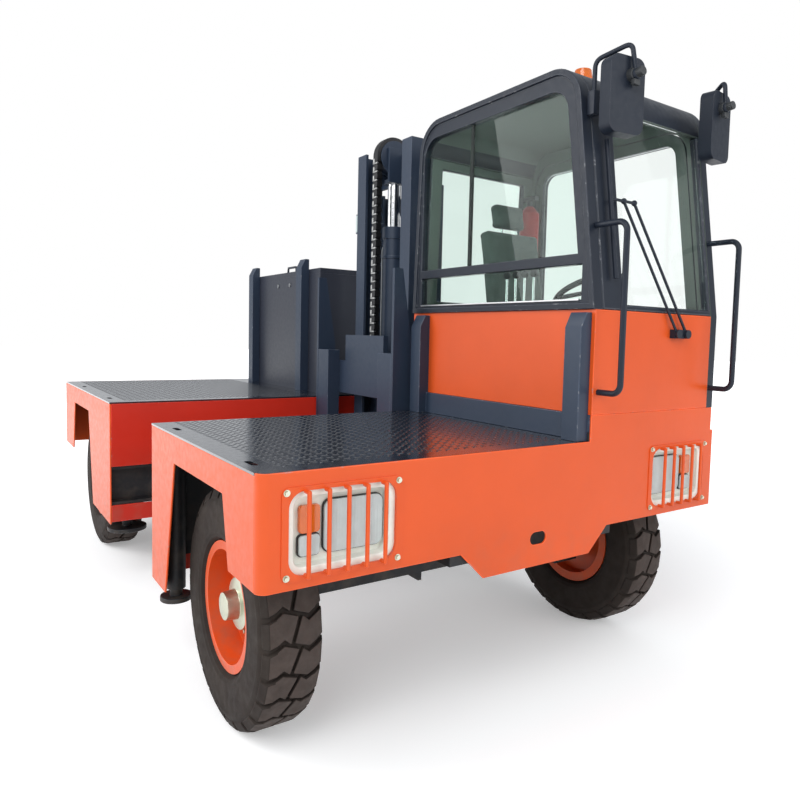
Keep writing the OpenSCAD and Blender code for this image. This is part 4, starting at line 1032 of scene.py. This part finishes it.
class SIDELOADER_OT_hood(bpy.types.Operator):
    """Engine hood, its lid and the load posts"""
    bl_idname = "sideloader.hood"
    bl_label = "Hood"
    # Locks: their places along the hood, their drop from its top, the round face and its key slot.
    lock_shares = (0.40, 0.58)
    lock_drop = 0.075
    lock_r = 0.017
    lock_rim = 0.003
    lock_inner = Vector((0, 0.004, 0))
    lock_outer = Vector((0, -0.007, 0))
    slot_low = Vector((-0.002, -0.0085, -0.008))
    slot_high = Vector((0.002, -0.006, 0.008))
    slot_edge = 0.0008

    def execute(self, context):
        edge = context.scene.sideloader_sizes.edge
        for node in ("hood_box", "hood_lid"):
            dress(node, edge, *painted("hood", 0.36))
        for node in ("hood_posts", "cab_posts"):
            dress(node, edge, *painted("mast", 0.4))
        low, high = span("hood_box")
        locks = []
        for share in self.lock_shares:
            place = Vector((low.x + share * (high.x - low.x), low.y, high.z - self.lock_drop))
            locks.append(turned(
                place + self.lock_inner, place + self.lock_outer, self.lock_r, 28, self.lock_rim))
            locks.append(block(place + self.slot_low, place + self.slot_high, self.slot_edge))
        piece = smooth(coat(join(locks, "hood_locks"), bare_metal("lock", STEEL, 0.28)))
        seat(piece, "hood_locks", "hood_box")
        return {"FINISHED"}


# The glass in the load face of the lamp on the mast's rear upright.
WORK_LAMP_GLASS = ((-0.2035, 0.377, 2.428), (-0.1535, 0.382, 2.552))
WORK_LAMP_EDGE = 0.0015


class SIDELOADER_OT_mast(bpy.types.Operator):
    """Mast stages, trolley, carriage, forks and chain"""
    bl_idname = "sideloader.mast"
    bl_label = "Mast"
    collar_r = 0.078
    rod_r = 0.045
    rod_slack = 0.002
    chain_edge = 0.001
    # Chain: its pitch, where the bright plate ends start and stop, their bar, and the plate on it.
    pitch = 0.057
    ends_foot = 0.05
    ends_top = 0.13
    ends_depth = 0.010
    ends_edge = 0.003
    bar_inset = 0.001
    bar_out = 0.004
    bar_h = 0.011
    plate_out = 0.002
    plate_w = 0.016
    plate_top = 0.040
    # Pipe: from the cylinder's axis to the side and front, its heights, and its end at the collar.
    pipe_side = 0.092
    pipe_front = 0.03
    pipe_foot = 1.25
    pipe_bend_z = 2.29
    pipe_end = (0.05, 0.01, 2.325)
    pipe_r = 0.008
    pipe_bend = 0.02

    def axis(self):
        """Where the lift cylinder stands: its X and Y."""
        chain_low, chain_high = span("lift_chain")
        return (chain_low.x + chain_high.x) / 2, span("mast_outer")[0].y + self.collar_r

    def rod(self, inner):
        """Chrome on the cylinder's rod."""
        x, y = self.axis()
        recoat(inner, bare_metal("rod", ROD_CHROME, 0.12), lambda point, normal: (
            abs(math.hypot(point.x - x, point.y - y) - self.rod_r) < self.rod_slack and abs(normal.z) < 0.5))

    def chain_bars(self):
        """Bright plate ends across the front of the chain, one to each link."""
        low, high = span("lift_chain")
        foot = low.z + self.ends_foot
        back = low.y + self.ends_depth
        bar_top = foot + self.bar_h
        bar = block(
            (low.x + self.bar_inset, low.y - self.bar_out, foot), (high.x - self.bar_inset, back, bar_top),
            self.ends_edge)
        plate = block(
            (low.x - self.plate_out, low.y - self.plate_out, bar_top),
            (low.x + self.plate_w, back, foot + self.plate_top), self.ends_edge)
        count = int((high.z - self.ends_top - foot) / self.pitch)
        piece = repeat_along(join([bar, plate], "chain_bars"), (0, 0, self.pitch), count)
        smooth(coat(piece, bare_metal("chain_bar", CHAIN_BRIGHT, 0.3)))
        seat(piece, "chain_bars", "lift_chain")

    def pipe(self):
        """The pressure pipe beside the lift cylinder."""
        x, y = self.axis()
        side, front = x - self.pipe_side, y - self.pipe_front
        end = (x - self.pipe_end[0], y - self.pipe_end[1], self.pipe_end[2])
        points = ((side, front, self.pipe_foot), (side, front, self.pipe_bend_z), end)
        run = tube(points, self.pipe_r, self.pipe_bend)
        piece = smooth(coat(run, bare_metal("pipe", PIPE_STEEL, 0.4)))
        seat(piece, "cylinder_pipe", "mast_outer")

    def execute(self, context):
        edge = context.scene.sideloader_sizes.edge
        for node in ("mast_trolley", "mast_outer", "fork_carriage", "forks"):
            dress(node, edge, *painted("mast", 0.42))
        self.rod(dress("mast_inner", edge, *painted("mast", 0.42)))
        dress("lift_chain", self.chain_edge, bare_metal("chain", CHAIN_DARK, 0.45))
        self.chain_bars()
        self.pipe()
        glass = block(WORK_LAMP_GLASS[0], WORK_LAMP_GLASS[1], WORK_LAMP_EDGE)
        piece = smooth(coat(glass, lens("clear", 0.0, 0.2)))
        seat(piece, "work_lamp_glass", "mast_inner", "headlamp_lenses")
        return {"FINISHED"}


class SIDELOADER_OT_wheels(bpy.types.Operator):
    """Tyres with block tread, rims, hubs and wheel nuts"""
    bl_idname = "sideloader.wheels"
    bl_label = "Wheels"
    crown = 0.509
    carcass_steps = 96
    # Tread: blocks round the tyre, half a block's length at top and foot as shares of the pitch, the slant
    # of the middle groove, and the reach of the scuffed rubber.
    blocks = 26
    top_share = 0.395
    foot_share = 0.41
    slant = 0.34
    block_edge = 0.0035
    block_sink = 0.004
    scuffed_r = 0.4975
    scuffed_half = 0.108
    # Hub: nuts on their circle, the stud in each, and the valve's foot and tip.
    nuts = 10
    nut_circle = 0.131
    nut_across = 0.032
    nut_sink = -0.002
    stud_r = 0.009
    stud_out = 0.024
    valve_foot = (0.19, -0.012)
    valve_tip = (0.20, 0.035)
    valve_r = 0.006
    small_rim = 0.002
    zinc_r = 0.1115
    zinc_out = 0.003

    def carcass(self, centre, groove):
        """The tyre under its tread, with two raised rings on each sidewall."""
        half = [
            (0.254, 0.082), (0.278, 0.089), (0.294, 0.117), (0.305, 0.1205), (0.309, 0.1245), (0.320, 0.1255),
            (0.324, 0.1235), (0.3815, 0.130), (0.425, 0.1262), (0.429, 0.1285), (0.437, 0.1275),
            (0.449, 0.123), (0.497 - groove, 0.107), (self.crown - groove, 0.078)]
        profile = half + [(radius, -width) for radius, width in reversed(half)]
        return lathe(profile, centre, self.carcass_steps)

    def tread(self, centre, groove):
        """Two columns of blocks between zigzag cross grooves, split by a slanted middle groove."""
        crown = self.crown
        pitch = math.tau * crown / self.blocks
        half_top, half_foot = pitch * self.top_share, pitch * self.foot_share
        foot = crown - groove - self.block_sink
        # Rows across a block: width and radius at its top, then at its foot, and the zigzag's shift.
        rows = (
            (0.008, crown, 0.008, foot, 0.0),
            (0.050, crown, 0.050, foot, -0.022),
            (0.078, crown, 0.078, foot, -0.004),
            (0.106, crown - 0.011, 0.100, foot - 0.012, 0.010),
            (0.122, crown - 0.046, 0.116, crown - 0.056, 0.012))
        columns = []
        for side in (1, -1):
            points = []
            for top_y, top_r, foot_y, foot_r, shift in rows:
                for along, y, radius in (
                        (-half_foot, foot_y, foot_r), (-half_top, top_y, top_r),
                        (half_top, top_y, top_r), (half_foot, foot_y, foot_r)):
                    angle = -(along + shift * side) / crown
                    inner = self.slant * along if y == rows[0][0] else 0.0
                    points.append((
                        centre[0] + radius * math.sin(angle), centre[1] + y * side + inner,
                        centre[2] + radius * math.cos(angle)))
            last = 4 * (len(rows) - 1)
            faces = [(0, 1, 2, 3), (last + 3, last + 2, last + 1, last)]
            for row in range(len(rows) - 1):
                for i in range(4):
                    j = (i + 1) % 4
                    faces.append((4 * row + i, 4 * row + j, 4 * row + 4 + j, 4 * row + 4 + i))
            column = mesh_piece("tread_block", points, faces)
            face_out()
            columns.append(round_edges(column, self.block_edge, 2, 30))
        piece = join(columns, "tread")
        return repeat_round(piece, centre, "Y", self.blocks)

    def hub(self, corner, centre, out):
        """Wheel nuts on the disc and a valve at the rim."""
        on_circle = centre + Vector((0.0, 0.0, self.nut_circle))
        outward = Vector((0.0, out, 0.0))
        nut = bolt(on_circle + outward * self.nut_sink, outward, self.nut_across)
        stud = turned(on_circle, on_circle + outward * self.stud_out, self.stud_r, 12, self.small_rim)
        ring = repeat_round(join([nut, stud], "nuts"), centre, "Y", self.nuts)
        foot, tip = [
            centre + Vector((ahead, 0.0, 0.0)) + outward * away
            for ahead, away in (self.valve_foot, self.valve_tip)]
        valve = turned(foot, tip, self.valve_r, 12, self.small_rim)
        piece = coat(join([ring, valve], "nuts"), zinc())
        smooth(piece)
        seat(piece, "nuts_" + corner, "rim_" + corner)

    def execute(self, context):
        groove = context.scene.sideloader_sizes.groove
        for corner in ("fl", "fr", "rl", "rr"):
            low, high = span("tyre_" + corner)
            centre = (low + high) / 2
            out = 1 if corner.endswith("l") else -1
            rubber = join([self.carcass(centre, groove), self.tread(centre, groove)], "tyre")
            tyre = coat(rubber, tyre_rubber())
            recoat(tyre, tread_rubber(), lambda point, normal: (
                math.hypot(point.x - centre.x, point.z - centre.z) > self.scuffed_r
                and abs(point.y - centre.y) < self.scuffed_half))
            smooth(tyre, 40)
            seat(tyre, "tyre_" + corner + "_treaded", "tyre_" + corner)
            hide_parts("tyre_" + corner)
            rim = dress("rim_" + corner, self.small_rim, *painted("rim"))
            recoat(rim, zinc(), lambda point, normal: (
                math.hypot(point.x - centre.x, point.z - centre.z) < self.zinc_r
                and (point.y - centre.y) * out > self.zinc_out))
            self.hub(corner, centre, out)
        return {"FINISHED"}


class SIDELOADER_OT_underside(bpy.types.Operator):
    """Chassis, axles, tank, jacks and engine"""
    bl_idname = "sideloader.underside"
    bl_label = "Underside"

    def execute(self, context):
        edge = context.scene.sideloader_sizes.edge
        for node in ("chassis_frame", "hydraulic_tank", "front_axle", "rear_axle", "knuckle_l", "knuckle_r"):
            dress(node, edge, *painted("frame", 0.5))
        dress("engine_block", edge, *painted("frame", 0.6))
        for node in ("jack_foot_front", "jack_foot_rear"):
            dress(node, edge, *painted("frame", 0.45))
        return {"FINISHED"}


# Where the photograph was taken from: place, aim and lens for a square image 800 pixels wide.
IMAGE_W = 800.0
SENSOR_W = 36.0
FOCAL_PIXELS = 677.9
IMAGE_CENTRE = (427.6, 383.9)
CAMERA_PLACE = (4.2675, -2.091, 1.676)
CAMERA_YAW = 35.19
CAMERA_PITCH = -3.99
CAMERA_ROLL = 1.443

# Lamps: name, place, aim, size and power.
STAGE_LAMPS = (
    ("key_lamp", (6.0, -6.5, 7.5), (0.4, -0.2, 1.2), 6.0, 540.0),
    ("side_lamp", (-4.0, -8.0, 5.0), (-0.8, -0.4, 1.2), 6.0, 420.0),
    ("front_lamp", (9.0, 3.0, 4.0), (1.5, 0.6, 1.6), 5.0, 200.0))

# The floor's width and grey, and how it brightens from near the wheels to far off.
FLOOR_W = 120.0
FLOOR_GREY = (0.86, 0.86, 0.86)
GLOW_NEAR = (2.5, 0.30)
GLOW_FAR = (9.0, 1.0)
ROOM_LIGHT = (0.93, 0.96, 1.0, 1)
ROOM_STRENGTH = 0.62


class SIDELOADER_OT_stage(bpy.types.Operator):
    """Camera, lamps, floor and pale surroundings"""
    bl_idname = "sideloader.stage"
    bl_label = "Stage"

    def camera(self):
        """The camera where the photograph was taken."""
        yaw, pitch, roll = (math.radians(v) for v in (CAMERA_YAW, CAMERA_PITCH, CAMERA_ROLL))
        ahead = Vector((-math.cos(yaw) * math.cos(pitch), math.sin(yaw) * math.cos(pitch), math.sin(pitch)))
        right = ahead.cross(Vector((0, 0, 1))).normalized()
        up = right.cross(ahead)
        turned_right = right * math.cos(roll) + up * math.sin(roll)
        turned_up = up * math.cos(roll) - right * math.sin(roll)
        bpy.ops.object.camera_add(location=CAMERA_PLACE)
        camera = bpy.context.object
        camera.name = "photo_camera"
        turn = Matrix((turned_right, turned_up, -ahead)).transposed()
        camera.rotation_euler = turn.to_euler()
        camera.data.sensor_width = SENSOR_W
        camera.data.lens = FOCAL_PIXELS / IMAGE_W * SENSOR_W
        camera.data.shift_x = (IMAGE_W / 2 - IMAGE_CENTRE[0]) / IMAGE_W
        camera.data.shift_y = (IMAGE_CENTRE[1] - IMAGE_W / 2) / IMAGE_W
        bpy.context.scene.camera = camera

    def lamp(self, name, place, aim, size, power):
        """A square lamp that shines at a point."""
        bpy.ops.object.light_add(type="AREA", location=place)
        lamp = bpy.context.object
        lamp.name = name
        lamp.rotation_euler = (Vector(aim) - Vector(place)).to_track_quat("-Z", "Y").to_euler()
        lamp.data.size = size
        lamp.data.energy = power

    def floor(self):
        """A pale floor that fades into the white surroundings."""
        bpy.ops.mesh.primitive_plane_add(size=FLOOR_W)
        floor = bpy.context.object
        floor.name = "floor"
        finish = Finish("pale_floor")
        finish.set(Base_Color=FLOOR_GREY, Roughness=0.9, Specular_IOR_Level=0.0)
        ray = finish.nodes.new("ShaderNodeLightPath")
        seen = finish.math("ADD", ray.outputs["Is Camera Ray"], ray.outputs["Is Glossy Ray"])
        seen = finish.math("MAXIMUM", seen, ray.outputs["Is Transmission Ray"])
        far = finish.nodes.new("ShaderNodeVectorMath")
        far.operation = "LENGTH"
        finish.links.new(finish.place, far.inputs[0])
        glow = finish.remap(far.outputs["Value"], GLOW_NEAR[0], GLOW_FAR[0], GLOW_NEAR[1], GLOW_FAR[1])
        finish.links.new(finish.math("MULTIPLY", seen, glow), finish.shader.inputs["Emission Strength"])
        finish.shader.inputs["Emission Color"].default_value = (1, 1, 1, 1)
        coat(floor, finish.material)

    def surroundings(self):
        """White to the camera and through glass, a little dimmer as light."""
        world = bpy.data.worlds.new("pale_room")
        bpy.context.scene.world = world
        world.use_nodes = True
        nodes, links = world.node_tree.nodes, world.node_tree.links
        nodes.clear()
        ray = nodes.new("ShaderNodeLightPath")
        seen = nodes.new("ShaderNodeMath")
        seen.operation = "MAXIMUM"
        links.new(ray.outputs["Is Camera Ray"], seen.inputs[0])
        links.new(ray.outputs["Is Transmission Ray"], seen.inputs[1])
        white = nodes.new("ShaderNodeBackground")
        white.inputs["Color"].default_value = (1, 1, 1, 1)
        light = nodes.new("ShaderNodeBackground")
        light.inputs["Color"].default_value = ROOM_LIGHT
        light.inputs["Strength"].default_value = ROOM_STRENGTH
        mix = nodes.new("ShaderNodeMixShader")
        links.new(seen.outputs["Value"], mix.inputs["Fac"])
        links.new(light.outputs["Background"], mix.inputs[1])
        links.new(white.outputs["Background"], mix.inputs[2])
        out = nodes.new("ShaderNodeOutputWorld")
        links.new(mix.outputs["Shader"], out.inputs["Surface"])

    def execute(self, context):
        deselect()
        self.camera()
        for lamp in STAGE_LAMPS:
            self.lamp(*lamp)
        self.floor()
        self.surroundings()
        context.scene.view_settings.view_transform = "Standard"
        return {"FINISHED"}


OPERATORS = (
    SIDELOADER_OT_stage,
    SIDELOADER_OT_panels,
    SIDELOADER_OT_decks,
    SIDELOADER_OT_cab,
    SIDELOADER_OT_cab_inside,
    SIDELOADER_OT_lamps,
    SIDELOADER_OT_hood,
    SIDELOADER_OT_mast,
    SIDELOADER_OT_wheels,
    SIDELOADER_OT_underside,
)


class SIDELOADER_PT_sidebar(bpy.types.Panel):
    """Lists the pieces of the side loader"""
    bl_idname = "SIDELOADER_PT_sidebar"
    bl_label = "Side loader"
    bl_space_type = "VIEW_3D"
    bl_region_type = "UI"
    bl_category = "Side loader"

    def draw(self, context):
        for settings in (context.scene.sideloader_colours, context.scene.sideloader_sizes):
            for key in settings.bl_rna.properties.keys():
                if key not in ("rna_type", "name"):
                    self.layout.prop(settings, key)
        for operator in OPERATORS:
            self.layout.operator(operator.bl_idname)


CLASSES = (SideloaderColours, SideloaderSizes, *OPERATORS, SIDELOADER_PT_sidebar)


def register():
    """Add the settings, operators and panel."""
    for cls in CLASSES:
        bpy.utils.register_class(cls)
    bpy.types.Scene.sideloader_colours = bpy.props.PointerProperty(type=SideloaderColours)
    bpy.types.Scene.sideloader_sizes = bpy.props.PointerProperty(type=SideloaderSizes)


def unregister():
    """Take them away again."""
    del bpy.types.Scene.sideloader_sizes
    del bpy.types.Scene.sideloader_colours
    for cls in reversed(CLASSES):
        bpy.utils.unregister_class(cls)


def main():
    """Build every piece."""
    register()
    for operator in OPERATORS:
        group, name = operator.bl_idname.split(".")
        getattr(getattr(bpy.ops, group), name)()


if __name__ == "__main__":
    main()
